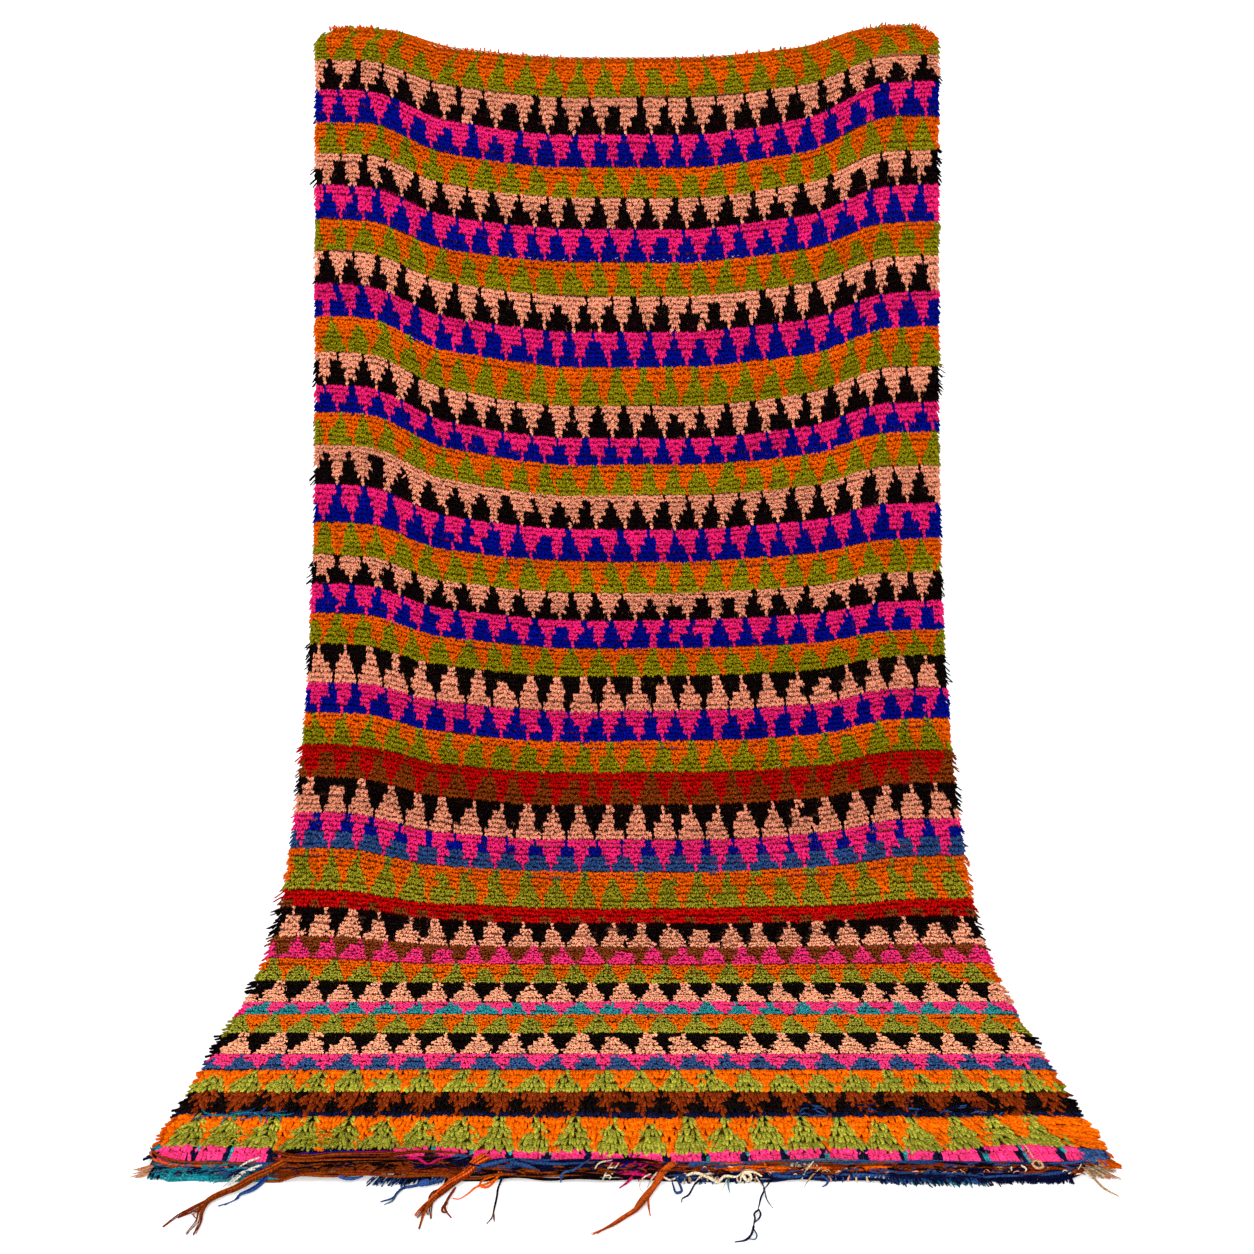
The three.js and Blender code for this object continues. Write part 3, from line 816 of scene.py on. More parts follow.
def pile_row(row, layer, layers, shape, random):
    """The ends of one layer of one row: their corners, their colours and their lengths."""
    locks = shape is LOCK
    line = row_lines[row] - row_heights[row] * layer / layers
    places, sizes = block_places(chart[row])
    wool = chart[row][LEG_KNOT]
    flare, extra, stout = LIE[wool].T
    flare = flare * np.where(sizes[LEG_KNOT] >= WIDE_BLOCK, 0.35, 1)
    flare = flare * (1.15 if locks else 0.3 + 0.9 * layer)
    floor_part = smooth_step(1036, 636, line)
    flat_x = (LEG_KNOT + 0.5 + LEG_SIDE * 0.25) * BODY_WIDTH / KNOTS - BODY_WIDTH / 2
    flat_x = flat_x + random.normal(0, 0.3, LEGS) + (0 if locks else (layer - 0.5) * LAYER_SHIFT)
    shag = smooth_step(310, 205, line) * smooth_step(20, 34, line)
    shag = shag * (0.4 + 0.6 * smooth_step(-150, -450, flat_x))
    rough = 0.8 * shag + 0.7 * floor_part

    wave = 1.3 * np.sin(flat_x / 83 + row * 1.7) + 0.9 * np.sin(flat_x / 29 + row * 2.9)
    uneven = wave + each_knot(random, 0.8 + 0.8 * shag) + random.normal(0, 1.0, LEGS)
    run = row_run(flat_x, line)
    pitch = np.maximum(run - row_run(flat_x, line - row_heights[row] / layers), LEAST_PITCH / layers)
    run = run - 1.0 + uneven * smooth_step(0, 60, line)
    length = pitch * (LOCK_ROWS_LONG + 0.16 * floor_part + 0.2 * shag if locks else STITCH_ROWS_LONG)
    length = length * (1 + each_knot(random, 0.04) + random.normal(0, 0.06, LEGS))

    clump = np.repeat(random.normal(0, 1, KNOTS // 3 + 1), 3)[:KNOTS][LEG_KNOT]
    lean = places[LEG_KNOT] * flare * (1 + 1.4 * shag) + clump * (0.3 + 2.2 * shag)
    lean = lean + each_knot(random, 0.4 + rough) + random.normal(0, 0.6 + rough, LEGS)
    lean = np.where(sizes[LEG_KNOT] <= 1, lean * 0.5 - LEG_SIDE * 1.2, lean)
    stray = np.repeat(random.random(KNOTS), 2) < STRAY_SHARE + 0.03 * shag
    lean = np.where(stray, lean + random.normal(0, 5 + 4 * shag, LEGS), lean)
    sweep = smooth_step(330, 700, flat_x) * smooth_step(240, 60, line)
    lean = lean + np.where(wool == WOOL["orange"], 0.8, 0.2) * length * sweep

    lift = (LOCK_LIFT if locks else STITCH_LIFT + LAYER_LIFT * layer) + extra + each_knot(random, 0.4)
    lift = lift + random.normal(0, 0.5, LEGS) + 2.0 * shag * random.random(LEGS) + 1.4 * stray
    width = (LOCK_WIDTH if locks else STITCH_WIDTH) * stout * (1 + random.normal(0, 0.08, LEGS))
    thick = (YARN_THICKNESS + 0.8 * floor_part) * (1 + random.normal(0, 0.08, LEGS))
    roll = random.uniform(-0.35, 0.35, LEGS)
    corners = tuft_arrays(
        flat_x * corner_share(line), run, length, lean, width, thick, np.full(LEGS, ROOT_HEIGHT),
        lift, roll, droop=8.0 * smooth_step(30, 14, line), shape=shape)
    bright = 1 + each_knot(random, 0.06) + random.normal(0, 0.11, LEGS)
    return corners, pile_shades(row, line, wool, flat_x, bright), length


def joined(results):
    """Corners, colours and lengths of several sets of yarn ends, each put end to end."""
    corners, shades, lengths = zip(*results)
    return tuple(map(np.concatenate, zip(*corners))), np.concatenate(shades), np.concatenate(lengths)


def pile_rows(first, last, shape, seed):
    """The pile of the rows from first to last, down the cloth."""
    random = np.random.default_rng(seed)
    layers = 1 if shape is LOCK else 2
    places = [(row, layer) for row in range(first, last) for layer in range(layers)]
    return joined([pile_row(row, layer, layers, shape, random) for row, layer in places])


# %% Knot the pile in five stretches
PILE_NAMES = ["pile_top", "pile_upper", "pile_middle", "pile_lower", "pile_front"]
FRONT_LOCK_ROWS = 18
pile_edges = np.linspace(0, ROWS - FRONT_LOCK_ROWS, len(PILE_NAMES)).round().astype(int)
pile_edges = np.append(pile_edges, ROWS)
pile_pieces = []
for number, name in enumerate(PILE_NAMES):
    shape = LOCK if name == "pile_front" else STITCH
    parts, shades, lengths = pile_rows(pile_edges[number], pile_edges[number + 1], shape, 100 + number)
    piece = tuft_mesh(name, parts, shades, lengths, pile_wool, shape)
    pile_pieces.append(piece)
    print(name, "triangles:", len(piece.data.polygons))

# %% [markdown]
# ## The side edges
#
# At each side the wefts turn round the outer warps, and pile from the last knots sticks out past
# them in ragged locks, in the colour of the row they belong to.

# %% Side locks
LOCKS_PER_ROW = 7
LONG_WOOLS = [WOOL["black"], WOOL["rust"], WOOL["red"], WOOL["brown"]]


def side_locks(sign, seed):
    """The locks of the left (-1) or right (1) edge, longer in some wools and on the floor."""
    random = np.random.default_rng(seed)
    rows = np.repeat(np.arange(ROWS), LOCKS_PER_ROW)
    n = len(rows)
    line = row_lines[rows] - row_heights[rows] * random.random(n)
    edge = sign * (BODY_WIDTH / 2 - 3 + 1.5 * random.random(n))
    edge = edge * corner_share(line)
    wool = chart[rows, 0 if sign < 0 else KNOTS - 1]
    ragged = 0.5 + 0.5 * np.sin(line / 37 + sign) * np.sin(line / 113)
    reach = 6 + 6 * np.isin(wool, LONG_WOOLS) + 5 * smooth_step(1186, 736, line)
    lean = sign * (4 + reach * random.random(n) ** 1.5 * (0.6 + ragged))
    length = 8 + 12 * random.random(n)
    ones = np.ones(n)
    parts = tuft_arrays(
        edge, row_run(edge, line), length, lean, 4.6 * ones, 4.4 * ones, 5 * ones,
        6 + 5 * random.random(n), random.uniform(-0.6, 0.6, n), 0.9)
    bright = 0.92 + 0.2 * random.random(n)
    return parts, WOOL_COLOURS[wool] * bright[:, None], np.hypot(length, lean)


side_pieces = {}
for sign, side in ((-1, "left"), (1, "right")):
    parts, shades, lengths = side_locks(sign, 40 + sign)
    side_pieces[side] = tuft_mesh(f"{side}_side_locks", parts, shades, lengths, edge_wool)
print("side locks:", [len(piece.data.polygons) for piece in side_pieces.values()])

# %% [markdown]
# ## Yarns drawn along a path
#
# A loose yarn is a round cord with pointed ends on a smooth path. Blender's curves would do for
# one, but hundreds of them, each with its own colours, are easier as rings of corners swept
# along paths that NumPy holds together.

# %% Sweep many yarns into one mesh
FLOOR_GAP = 0.2
CORD_TWIST_PITCH = 5
# cords take the painted root shade of a point this far along a pile end: an even, slight darkening
CORD_SHADE_PLACE = 0.85


def smooth_path(points, count):
    """The same path through the given points with evenly spaced points and soft bends."""
    points = np.asarray(points, dtype=float)
    knots = np.concatenate([[0], np.cumsum(np.linalg.norm(np.diff(points, axis=0), axis=1))])
    slopes = np.gradient(points, knots, axis=0)
    place = np.linspace(0, knots[-1], count)
    k = np.clip(np.searchsorted(knots, place) - 1, 0, len(points) - 2)
    gap = (knots[k + 1] - knots[k])[:, None]
    t = (place - knots[k])[:, None] / gap
    return ((2 * t ** 3 - 3 * t ** 2 + 1) * points[k] + (t ** 3 - 2 * t ** 2 + t) * gap * slopes[k]
            + (3 * t ** 2 - 2 * t ** 3) * points[k + 1] + (t ** 3 - t ** 2) * gap * slopes[k + 1])


def sweep_mesh(name, paths, radii, colours, sides, material):
    """Paths (n, k, 3) and radii (n, k) in mm, colours (n, k, 3), joined into one piece."""
    n, k = radii.shape
    way = np.gradient(paths, axis=1)
    way /= np.linalg.norm(way, axis=2, keepdims=True) + 1e-9
    side = np.cross(np.array([0.0, 0.02, 1.0]), way)
    side /= np.linalg.norm(side, axis=2, keepdims=True) + 1e-9
    over = np.cross(way, side)
    turn = np.arange(sides) * 2 * math.pi / sides
    ring = np.cos(turn)[:, None] * side[:, :, None] + np.sin(turn)[:, None] * over[:, :, None]
    points = paths[:, :, None] + ring * radii[:, :, None, None]
    points[..., 2] = np.maximum(points[..., 2], FLOOR_GAP)
    triangles, corners = [], []
    for step in range(k - 1):
        for a in range(sides):
            b = (a + 1) % sides
            low, high = step * sides, (step + 1) * sides
            triangles += [(low + a, low + b, high + b), (low + a, high + b, high + a)]
            corners += [((a, step), (a + 1, step), (a + 1, step + 1)),
                        ((a, step), (a + 1, step + 1), (a, step + 1))]
    last = (k - 1) * sides
    for a in range(1, sides - 1):
        triangles += [(0, a + 1, a), (last, last + a, last + a + 1)]
        corners += [((0, 0), (a + 1, 0), (a, 0)), ((0, k - 1), (a, k - 1), (a + 1, k - 1))]
    triangles = (np.array(triangles)[None] + np.arange(n)[:, None, None] * k * sides).reshape(-1, 3)
    share = np.array(corners, dtype=float) / (sides, k - 1)
    grid = int(math.ceil(math.sqrt(n)))
    cell = np.stack([np.arange(n) % grid, np.arange(n) // grid], axis=-1)
    cells = (cell[:, None, None, :] + 0.04 + 0.92 * share[None]) / grid
    long = np.linalg.norm(np.diff(paths, axis=1), axis=2).sum(axis=1)
    turns = share[None] * np.stack([np.ones(n), long / CORD_TWIST_PITCH], axis=-1)[:, None, None, :]
    shades = np.repeat(colours.reshape(n * k, 3), sides, axis=0)
    along = np.full(len(shades), CORD_SHADE_PLACE)
    mesh = triangle_mesh(name, to_frame(points), triangles, shades, along, cells, turns)
    return add_object(name, mesh, material)


def tapered(radius, count, tip=0.3):
    """Radii along a yarn that starts at half its thickness and ends in a thin tip."""
    share = np.linspace(0, 1, count)
    return radius * np.minimum(1, 0.5 + 6 * share) * (1 - (1 - tip) * smooth_step(0.55, 1, share))


# %% [markdown]
# ## The flatwoven end
#
# In front of the last row of knots the weaver ends with two fingers' width of plain wefts in
# leftover yarns: grey and blue, orange, rust, navy and black. They show as cords side by side
# across the rug, higher where loose yarns lie on them.

# %% Wefts across the front end
# from x, to x, colours from the pile to the front edge
WEFTS = [
    (-740, -530, "slate steel slate slate brown steel teal slate teal turquoise teal"),
    (-530, -236, "navy black rust brown rust rust brown rust brown rust brown"),
    (-236, -20, "navy steel navy black steel navy black brown black brown black"),
    (-20, 62, "black brown navy magenta black brown magenta black brown magenta black"),
    (62, 200, "steel slate steel orange steel orange rust navy steel navy navy"),
    (200, 400, "slate steel slate brown rust orange rust brown navy steel navy"),
    (400, 740, "steel navy steel rust brown rust navy steel navy navy navy"),
]
# from x, to x, extra height where yarns lie on the wefts
LYING_YARNS = [(-520, -235, 8), (-225, 50, 4), (150, 520, 2)]
WEFT_COUNT, WEFT_SECTIONS = 19, 140
WEFT_START, WEFT_DEPTH = -1187, 37
WEFT_LEFT, WEFT_RIGHT = -716, 712
CORNER_BACK = 26


def strip_height(x, share):
    """Top of the flatwoven end, where share goes from 0 at the pile to 1 at the front edge."""
    height = 9.5 - 6.0 * share ** 1.5
    for low, high, rise in LYING_YARNS:
        height = height + rise * smooth_step(low, low + 40, x) * smooth_step(high, high - 40, x)
    return height


def wefts(seed):
    """Paths, radii and colours of the wefts; each changes yarn every few centimetres."""
    random = np.random.default_rng(seed)
    paths = np.zeros((WEFT_COUNT, WEFT_SECTIONS, 3))
    shades = np.zeros((WEFT_COUNT, WEFT_SECTIONS, 3))
    for number in range(WEFT_COUNT):
        share = number / (WEFT_COUNT - 1)
        left, right = WEFT_LEFT + 26 * share ** 2, WEFT_RIGHT - 40 * share ** 2
        x = np.linspace(left, right, WEFT_SECTIONS)
        y = WEFT_START - WEFT_DEPTH * share
        y = y + 1.5 * np.sin(x / 37 + 19 * share) + 1.0 * np.sin(x / 13 + 51 * share)
        sides = smooth_step(-680, WEFT_LEFT, x) + smooth_step(630, WEFT_RIGHT, x)
        corner = CORNER_BACK * share * sides
        height = strip_height(x, share) + 1.1 * np.sin(x / 17 + 43 * share) + 0.7 * random.normal()
        paths[number] = np.stack([x, y + corner, np.maximum(height - 1.4, 1.5)], axis=-1)
        for low, high, names in WEFTS:
            names = names.split()
            place = low + random.uniform(-16, 16)
            while place < high:
                step = random.uniform(40, 130)
                pick = round(share * (len(names) - 1) + random.normal(0, 0.7))
                wool = WOOL[names[min(max(pick, 0), len(names) - 1)]]
                here = (x >= place) & (x < place + step + 20)
                shades[number, here] = WOOL_COLOURS[wool] * random.uniform(0.7, 1.3)
                place += step
    radii = 1.9 * (1 + 0.15 * np.sin(np.arange(WEFT_SECTIONS) * 0.9)) * np.ones((WEFT_COUNT, 1))
    radii[:, 0] = radii[:, -1] = 0.8
    return paths, radii, shades


weft_paths, weft_radii, weft_shades = wefts(5)
end_wefts = sweep_mesh("end_wefts", weft_paths, weft_radii, weft_shades, 6, edge_wool)
print("wefts:", len(weft_paths), "triangles:", len(end_wefts.data.polygons))

# %% [markdown]
# ## Loose yarns at the front end
#
# Weft yarns come loose from the end: stout rust bundles, three of which reach over the floor and
# split at their tips, a blue yarn with a knot, navy threads, curls of white and an orange loop.
# Each is laid out with a few given points, in mm, as one would lay real yarns.

# %% Single yarns
# colour, radius, then points (x, y, height)
LOOSE_YARNS = [
    ("copper", 1.8, [(-729, -1154, 10), (-719, -1178, 10), (-690, -1194, 10), (-630, -1199, 9),
        (-582, -1202, 9), (-545, -1204, 10)]),
    ("brown", 1.8, [(-731, -1152, 12), (-715, -1172, 12), (-684, -1188, 12), (-620, -1193, 11),
        (-560, -1196, 11)]),
    ("white", 1.6, [(-553, -1186, 16), (-572, -1194, 12), (-584, -1212, 8), (-585, -1236, 3)]),
    ("white", 1.7, [(-546, -1204, 14), (-563, -1211, 11), (-579, -1230, 6), (-588, -1241, 3)]),
    ("white", 1.4, [(-554, -1212, 12), (-575, -1217, 9), (-584, -1229, 5), (-595, -1242, 2)]),
    ("slate", 1.2, [(-558, -1216, 8), (-578, -1224, 6), (-596, -1226, 4), (-612, -1232, 2)]),
    ("magenta", 2.0, [(-329, -1201, 22), (-314, -1201, 22), (-296, -1210, 18), (-284, -1202, 20),
        (-266, -1192, 20)]),
    ("magenta", 1.6, [(-428, -1190, 24), (-396, -1188, 24), (-352, -1181, 22)]),
    ("royal", 1.8, [(-506, -1188, 19), (-470, -1187, 22), (-430, -1185, 23), (-380, -1181, 22)]),
    ("steel", 2.4, [(-430, -1222, 8), (-416, -1226, 6), (-404, -1224, 5), (-392, -1220, 6)]),
    ("navy", 2.2, [(-299, -1211, 14), (-334, -1208, 12), (-355, -1208, 8), (-361, -1220, 2)]),
    ("navy", 2.4, [(-305, -1213, 11), (-338, -1213, 8), (-349, -1219, 4), (-362, -1230, 2)]),
    ("steel", 1.8, [(-305, -1215, 9), (-339, -1215, 6), (-346, -1228, 3), (-352, -1238, 2)]),
    ("navy", 2.6, [(-290, -1214, 10), (-322, -1217, 6), (-334, -1224, 3)]),
    ("navy", 2.6, [(-276, -1213, 12), (-300, -1219, 7), (-318, -1228, 3)]),
    ("black", 2.6, [(-262, -1212, 12), (-288, -1217, 8), (-306, -1225, 3)]),
    ("steel", 2.9, [(-240, -1186, 17), (-262, -1187, 16), (-272, -1203, 11), (-278, -1222, 6),
        (-290, -1232, 5), (-303, -1237, 5)]),
    ("steel", 2.6, [(-238, -1190, 15), (-258, -1193, 15), (-267, -1208, 10), (-273, -1226, 6),
        (-288, -1237, 4), (-303, -1241, 4)]),
    ("steel", 4.4, [(-292, -1234, 6), (-300, -1238, 6), (-309, -1242, 5)]),
    ("steel", 2.1, [(-303, -1238, 4), (-314, -1243, 4), (-328, -1248, 4), (-335, -1258, 3),
        (-339, -1271, 3), (-356, -1280, 2)]),
    ("slate", 1.3, [(-335, -1259, 3), (-339, -1277, 2), (-350, -1288, 2)]),
    ("rust", 2.0, [(-267, -1254, 6), (-283, -1264, 6), (-286, -1272, 5), (-284, -1286, 3)]),
    ("rust", 2.2, [(-251, -1248, 5), (-259, -1276, 4), (-261, -1298, 4), (-256, -1309, 3),
        (-249, -1319, 2)]),
    ("rust", 1.8, [(-258, -1286, 4), (-264, -1297, 4), (-263, -1306, 3), (-256, -1309, 3)]),
    ("orange", 1.7, [(-190, -1212, 11), (-196, -1232, 5), (-207, -1244, 3), (-217, -1240, 4),
        (-214, -1231, 5), (-196, -1223, 8)]),
    ("orange", 1.5, [(-184, -1212, 11), (-193, -1226, 6), (-206, -1236, 4), (-220, -1242, 3),
        (-234, -1264, 3), (-244, -1273, 2), (-253, -1271, 2)]),
    ("steel", 2.2, [(-168, -1192, 14), (-178, -1208, 11), (-185, -1222, 6), (-188, -1232, 4)]),
    ("black", 1.6, [(-184, -1220, 6), (-189, -1245, 3), (-189, -1271, 3), (-190, -1299, 3),
        (-191, -1317, 2), (-197, -1334, 2)]),
    ("brown", 1.2, [(-190, -1309, 3), (-187, -1330, 2)]),
    ("steel", 3.0, [(-225, -1211, 15), (-211, -1209, 16), (-188, -1200, 17), (-168, -1189, 15)]),
    ("steel", 3.4, [(-175, -1200, 16), (-153, -1208, 15), (-130, -1216, 12)]),
    ("steel", 2.4, [(-166, -1191, 16), (-135, -1202, 16), (-98, -1204, 15), (-70, -1198, 14)]),
    ("steel", 1.7, [(-98, -1230, 2), (-97, -1222, 9), (-77, -1216, 14), (-66, -1203, 15),
        (-55, -1188, 14)]),
    ("cream", 1.3, [(-37, -1230, 4), (-30, -1218, 12), (-22, -1200, 15)]),
    ("cream", 1.3, [(-26, -1227, 5), (-20, -1216, 12), (-12, -1200, 15)]),
    ("cream", 1.1, [(-33, -1224, 9), (-22, -1223, 9)]),
    ("cream", 1.1, [(-29, -1212, 14), (-17, -1211, 14)]),
    ("cream", 1.2, [(-48, -1213, 13), (-43, -1203, 15), (-22, -1192, 15)]),
    ("magenta", 2.2, [(22, -1200, 14), (10, -1221, 8), (1, -1232, 4), (-11, -1244, 2)]),
    ("magenta", 1.8, [(32, -1203, 14), (12, -1217, 10), (-8, -1224, 6)]),
    ("magenta", 2.0, [(14, -1194, 14), (0, -1211, 11), (-16, -1218, 9)]),
    ("royal", 1.8, [(2, -1196, 15), (-4, -1206, 14), (-14, -1212, 12)]),
    ("copper", 2.0, [(40, -1240, 5), (22, -1273, 5), (13, -1292, 4), (9, -1304, 4)]),
    ("copper", 1.6, [(31, -1262, 5), (31, -1292, 3), (33, -1315, 2)]),
    ("cream", 1.4, [(45, -1220, 12), (34, -1238, 8), (30, -1250, 6)]),
    ("cream", 1.0, [(36, -1222, 11), (24, -1227, 7), (19, -1238, 4), (20, -1249, 2), (24, -1256, 2)]),
    ("steel", 1.9, [(70, -1222, 10), (77, -1240, 6), (79, -1256, 3), (73, -1259, 3), (68, -1244, 5),
        (66, -1228, 8)]),
    ("cream", 1.4, [(54, -1228, 9), (64, -1232, 7), (76, -1226, 9)]),
    ("cream", 1.6, [(126, -1219, 10), (110, -1224, 8), (100, -1236, 5)]),
    ("navy", 1.5, [(108, -1228, 6), (99, -1240, 4), (95, -1250, 3), (88, -1266, 3), (80, -1272, 2),
        (79, -1281, 2)]),
    ("teal", 1.2, [(150, -1226, 6), (149, -1240, 3), (150, -1256, 2)]),
    ("cream", 0.8, [(148, -1228, 6), (141, -1246, 3), (134, -1258, 2)]),
    ("cream", 2.1, [(88, -1224, 9), (100, -1219, 10), (122, -1228, 8), (134, -1233, 5), (144, -1226, 9),
        (164, -1226, 9), (172, -1219, 12)]),
    ("cream", 2.4, [(168, -1228, 8), (176, -1220, 12), (184, -1228, 8), (178, -1232, 6),
        (172, -1224, 11), (188, -1220, 12), (200, -1226, 9)]),
    ("navy", 1.5, [(192, -1216, 11), (196, -1232, 7), (201, -1250, 4), (195, -1268, 3), (189, -1294, 3),
        (186, -1306, 3)]),
    ("cream", 1.2, [(188, -1214, 11), (192, -1228, 8), (200, -1248, 5)]),
    ("navy", 1.3, [(216, -1222, 10), (210, -1236, 6), (201, -1251, 4)]),
    ("navy", 1.4, [(188, -1300, 3), (190, -1311, 3), (187, -1322, 3), (179, -1333, 3)]),
    ("navy", 1.4, [(187, -1302, 3), (181, -1311, 3), (181, -1322, 3), (179, -1333, 3),
        (176, -1347, 3)]),
    ("navy", 1.7, [(178, -1338, 3), (174, -1356, 3), (171, -1364, 3), (163, -1374, 3),
        (148, -1377, 2)]),
    ("slate", 1.1, [(176, -1346, 3), (180, -1362, 2), (177, -1370, 2), (165, -1369, 2)]),
    ("slate", 1.1, [(201, -1252, 4), (203, -1279, 3), (209, -1296, 2)]),
    ("slate", 1.6, [(262, -1193, 15), (300, -1191, 15), (345, -1194, 15)]),
    ("orange", 1.6, [(206, -1198, 14), (209, -1212, 12), (211, -1222, 9)]),
    ("steel", 2.4, [(212, -1222, 9), (236, -1225, 8), (268, -1223, 8)]),
    ("cream", 1.3, [(280, -1198, 16), (268, -1212, 11), (257, -1230, 4)]),
    ("tan", 1.2, [(292, -1208, 14), (273, -1224, 7), (260, -1242, 2)]),
    ("steel", 1.8, [(288, -1220, 9), (297, -1231, 5), (293, -1238, 3), (287, -1241, 2)]),
    ("tan", 1.5, [(606, -1135, 17), (611, -1168, 17), (614, -1190, 15)]),
    ("tan", 2.0, [(612, -1192, 15), (621, -1196, 14), (622, -1206, 12), (612, -1209, 12),
        (608, -1200, 14), (616, -1196, 16), (618, -1204, 14)]),
    ("cream", 1.5, [(575, -1206, 12), (573, -1213, 10)]),
    ("cream", 1.3, [(590, -1203, 13), (596, -1210, 11), (592, -1216, 9)]),
    ("cream", 1.0, [(656, -1214, 6), (673, -1209, 9), (682, -1199, 13)]),
    ("tan", 1.8, [(683, -1204, 10), (694, -1227, 4), (700, -1247, 3), (715, -1266, 2)]),
    ("steel", 2.2, [(650, -1196, 11), (684, -1190, 12), (706, -1176, 13)]),
]

# %% Bundles of yarn: many strands on one path that part at the tips
# colours, strands, spread in mm, radius, shared path, then tips with their share of the strands
BUNDLES = [
    ("rust rust brown rust amber brown", 24, 18, 1.7,
     [(-478, -1184, 19), (-515, -1194, 15), (-537, -1213, 10), (-558, -1232, 8), (-573, -1251, 6),
      (-591, -1265, 5), (-603, -1280, 4)],
     [[(-622, -1297, 3), (-636, -1317, 3), (-649, -1343, 2)],
      [(-615, -1296, 3), (-624, -1309, 3), (-637, -1319, 2)],
      [(-611, -1300, 4), (-607, -1328, 3), (-613, -1358, 2)],
      [(-604, -1304, 4), (-600, -1332, 3), (-602, -1360, 2)],
      [(-606, -1302, 4), (-601, -1330, 3), (-599, -1357, 2)],
      [(-609, -1301, 3), (-619, -1308, 3), (-611, -1320, 2)]]),
    ("steel royal steel", 4, 6, 1.9,
     [(-503, -1188, 15), (-532, -1204, 9), (-538, -1229, 5), (-551, -1254, 4), (-564, -1263, 3)],
     [[(-568, -1276, 3), (-587, -1291, 2)], [(-562, -1270, 3), (-579, -1288, 2)]]),
    ("rust amber brown rust copper", 22, 19, 1.8,
     [(-212, -1188, 19), (-226, -1200, 15), (-239, -1218, 9), (-256, -1238, 7), (-271, -1259, 5),
      (-281, -1278, 4)],
     [[(-290, -1300, 3), (-297, -1319, 2)], [(-288, -1306, 3), (-291, -1346, 2)],
      [(-279, -1300, 3), (-278, -1321, 2)], [(-285, -1304, 3), (-283, -1312, 2)],
      [(-293, -1298, 3), (-300, -1314, 2)]]),
    ("copper amber copper copper rust", 18, 12, 1.6,
     [(70, -1198, 15), (54, -1216, 10), (47, -1229, 8), (36, -1254, 6), (25, -1279, 5), (11, -1306, 5),
      (-6, -1325, 4), (-24, -1343, 3)],
     [[(-36, -1352, 3), (-48, -1359, 2)], [(-34, -1350, 3), (-42, -1356, 2)]]),
    ("rust brown amber rust black", 18, 12, 1.6,
     [(-531, -1182, 21), (-494, -1196, 21), (-442, -1192, 23), (-358, -1191, 23), (-312, -1181, 22)],
     [[(-280, -1178, 20), (-236, -1178, 14)]]),
    ("brown rust amber black", 16, 12, 1.6,
     [(-530, -1192, 16), (-494, -1203, 19), (-440, -1204, 20), (-377, -1203, 20)],
     [[(-325, -1199, 19), (-285, -1183, 18)]]),
    ("rust brown amber", 16, 11, 1.6,
     [(-522, -1201, 11), (-470, -1211, 14), (-410, -1211, 15)],
     [[(-350, -1208, 14), (-318, -1200, 15)]]),
    ("brown rust black", 12, 9, 1.6,
     [(-500, -1212, 6), (-437, -1219, 9), (-400, -1217, 9)],
     [[(-366, -1214, 8), (-336, -1210, 8)]]),
    ("rust brown rust black", 14, 9, 1.6,
     [(-222, -1206, 10), (-169, -1216, 10), (-145, -1221, 8), (-109, -1221, 8)],
     [[(-70, -1220, 7), (-20, -1221, 6)]]),
]
YARN_SECTIONS = 26


def bundle_yarns(names, count, spread, radius, path, tips, random):
    """The strands of one bundle, which turn round its path and draw together towards the tips."""
    names = names.split()
    paths, shades = [], []
    for number in range(count):
        tip = tips[number % len(tips)]
        angle = random.uniform(0, 2 * math.pi)
        off = spread / 2 * math.sqrt(random.random())
        wave = random.uniform(-1.5, 1.5, 3)
        steps = []
        for place, point in enumerate(path + tip):
            share = place / (len(path) + len(tip) - 1)
            twist = angle + 2.4 * share
            narrow = off * (1 - 0.75 * share)
            across = narrow * math.cos(twist) + wave[place % 3]
            above = 0.35 * narrow * math.sin(twist)
            steps.append((point[0] + 0.8 * across, point[1] - 0.6 * across, point[2] + above))
        paths.append(smooth_path(steps, YARN_SECTIONS))
        shades.append(WOOL_COLOURS[WOOL[names[number % len(names)]]] * random.uniform(0.55, 1.55))
    radii = [tapered(radius * random.uniform(0.8, 1.1), YARN_SECTIONS) for _ in range(count)]
    return paths, radii, shades


yarn_random = np.random.default_rng(77)
yarn_paths, yarn_radii, yarn_shades = [], [], []
for name, radius, points in LOOSE_YARNS:
    yarn_paths.append(smooth_path(points, YARN_SECTIONS))
    yarn_radii.append(tapered(radius, YARN_SECTIONS, 0.5))
    yarn_shades.append(WOOL_COLOURS[WOOL[name]] * yarn_random.uniform(0.85, 1.25))
for entry in BUNDLES:
    paths, radii, shades = bundle_yarns(*entry, yarn_random)
    yarn_paths += paths
    yarn_radii += radii
    yarn_shades += shades
yarn_shades = np.repeat(np.array(yarn_shades)[:, None], YARN_SECTIONS, axis=1)
loose_yarns = sweep_mesh(
    "loose_end_yarns", np.array(yarn_paths), np.array(yarn_radii), yarn_shades, 6, edge_wool)
print("loose yarns:", len(yarn_paths), "triangles:", len(loose_yarns.data.polygons))

# %% [markdown]
# ## Tufts and fuzz at the front end
#
# Cut ends of the wefts make small soft tufts: teal ones at the left, a navy fringe at the right,
# tan ones at both corners, cream flecks between and some longer locks in the last rows of pile.
# They are the pile's lock, laid on the floor, where a run below zero is the distance in front of
# the last knots.

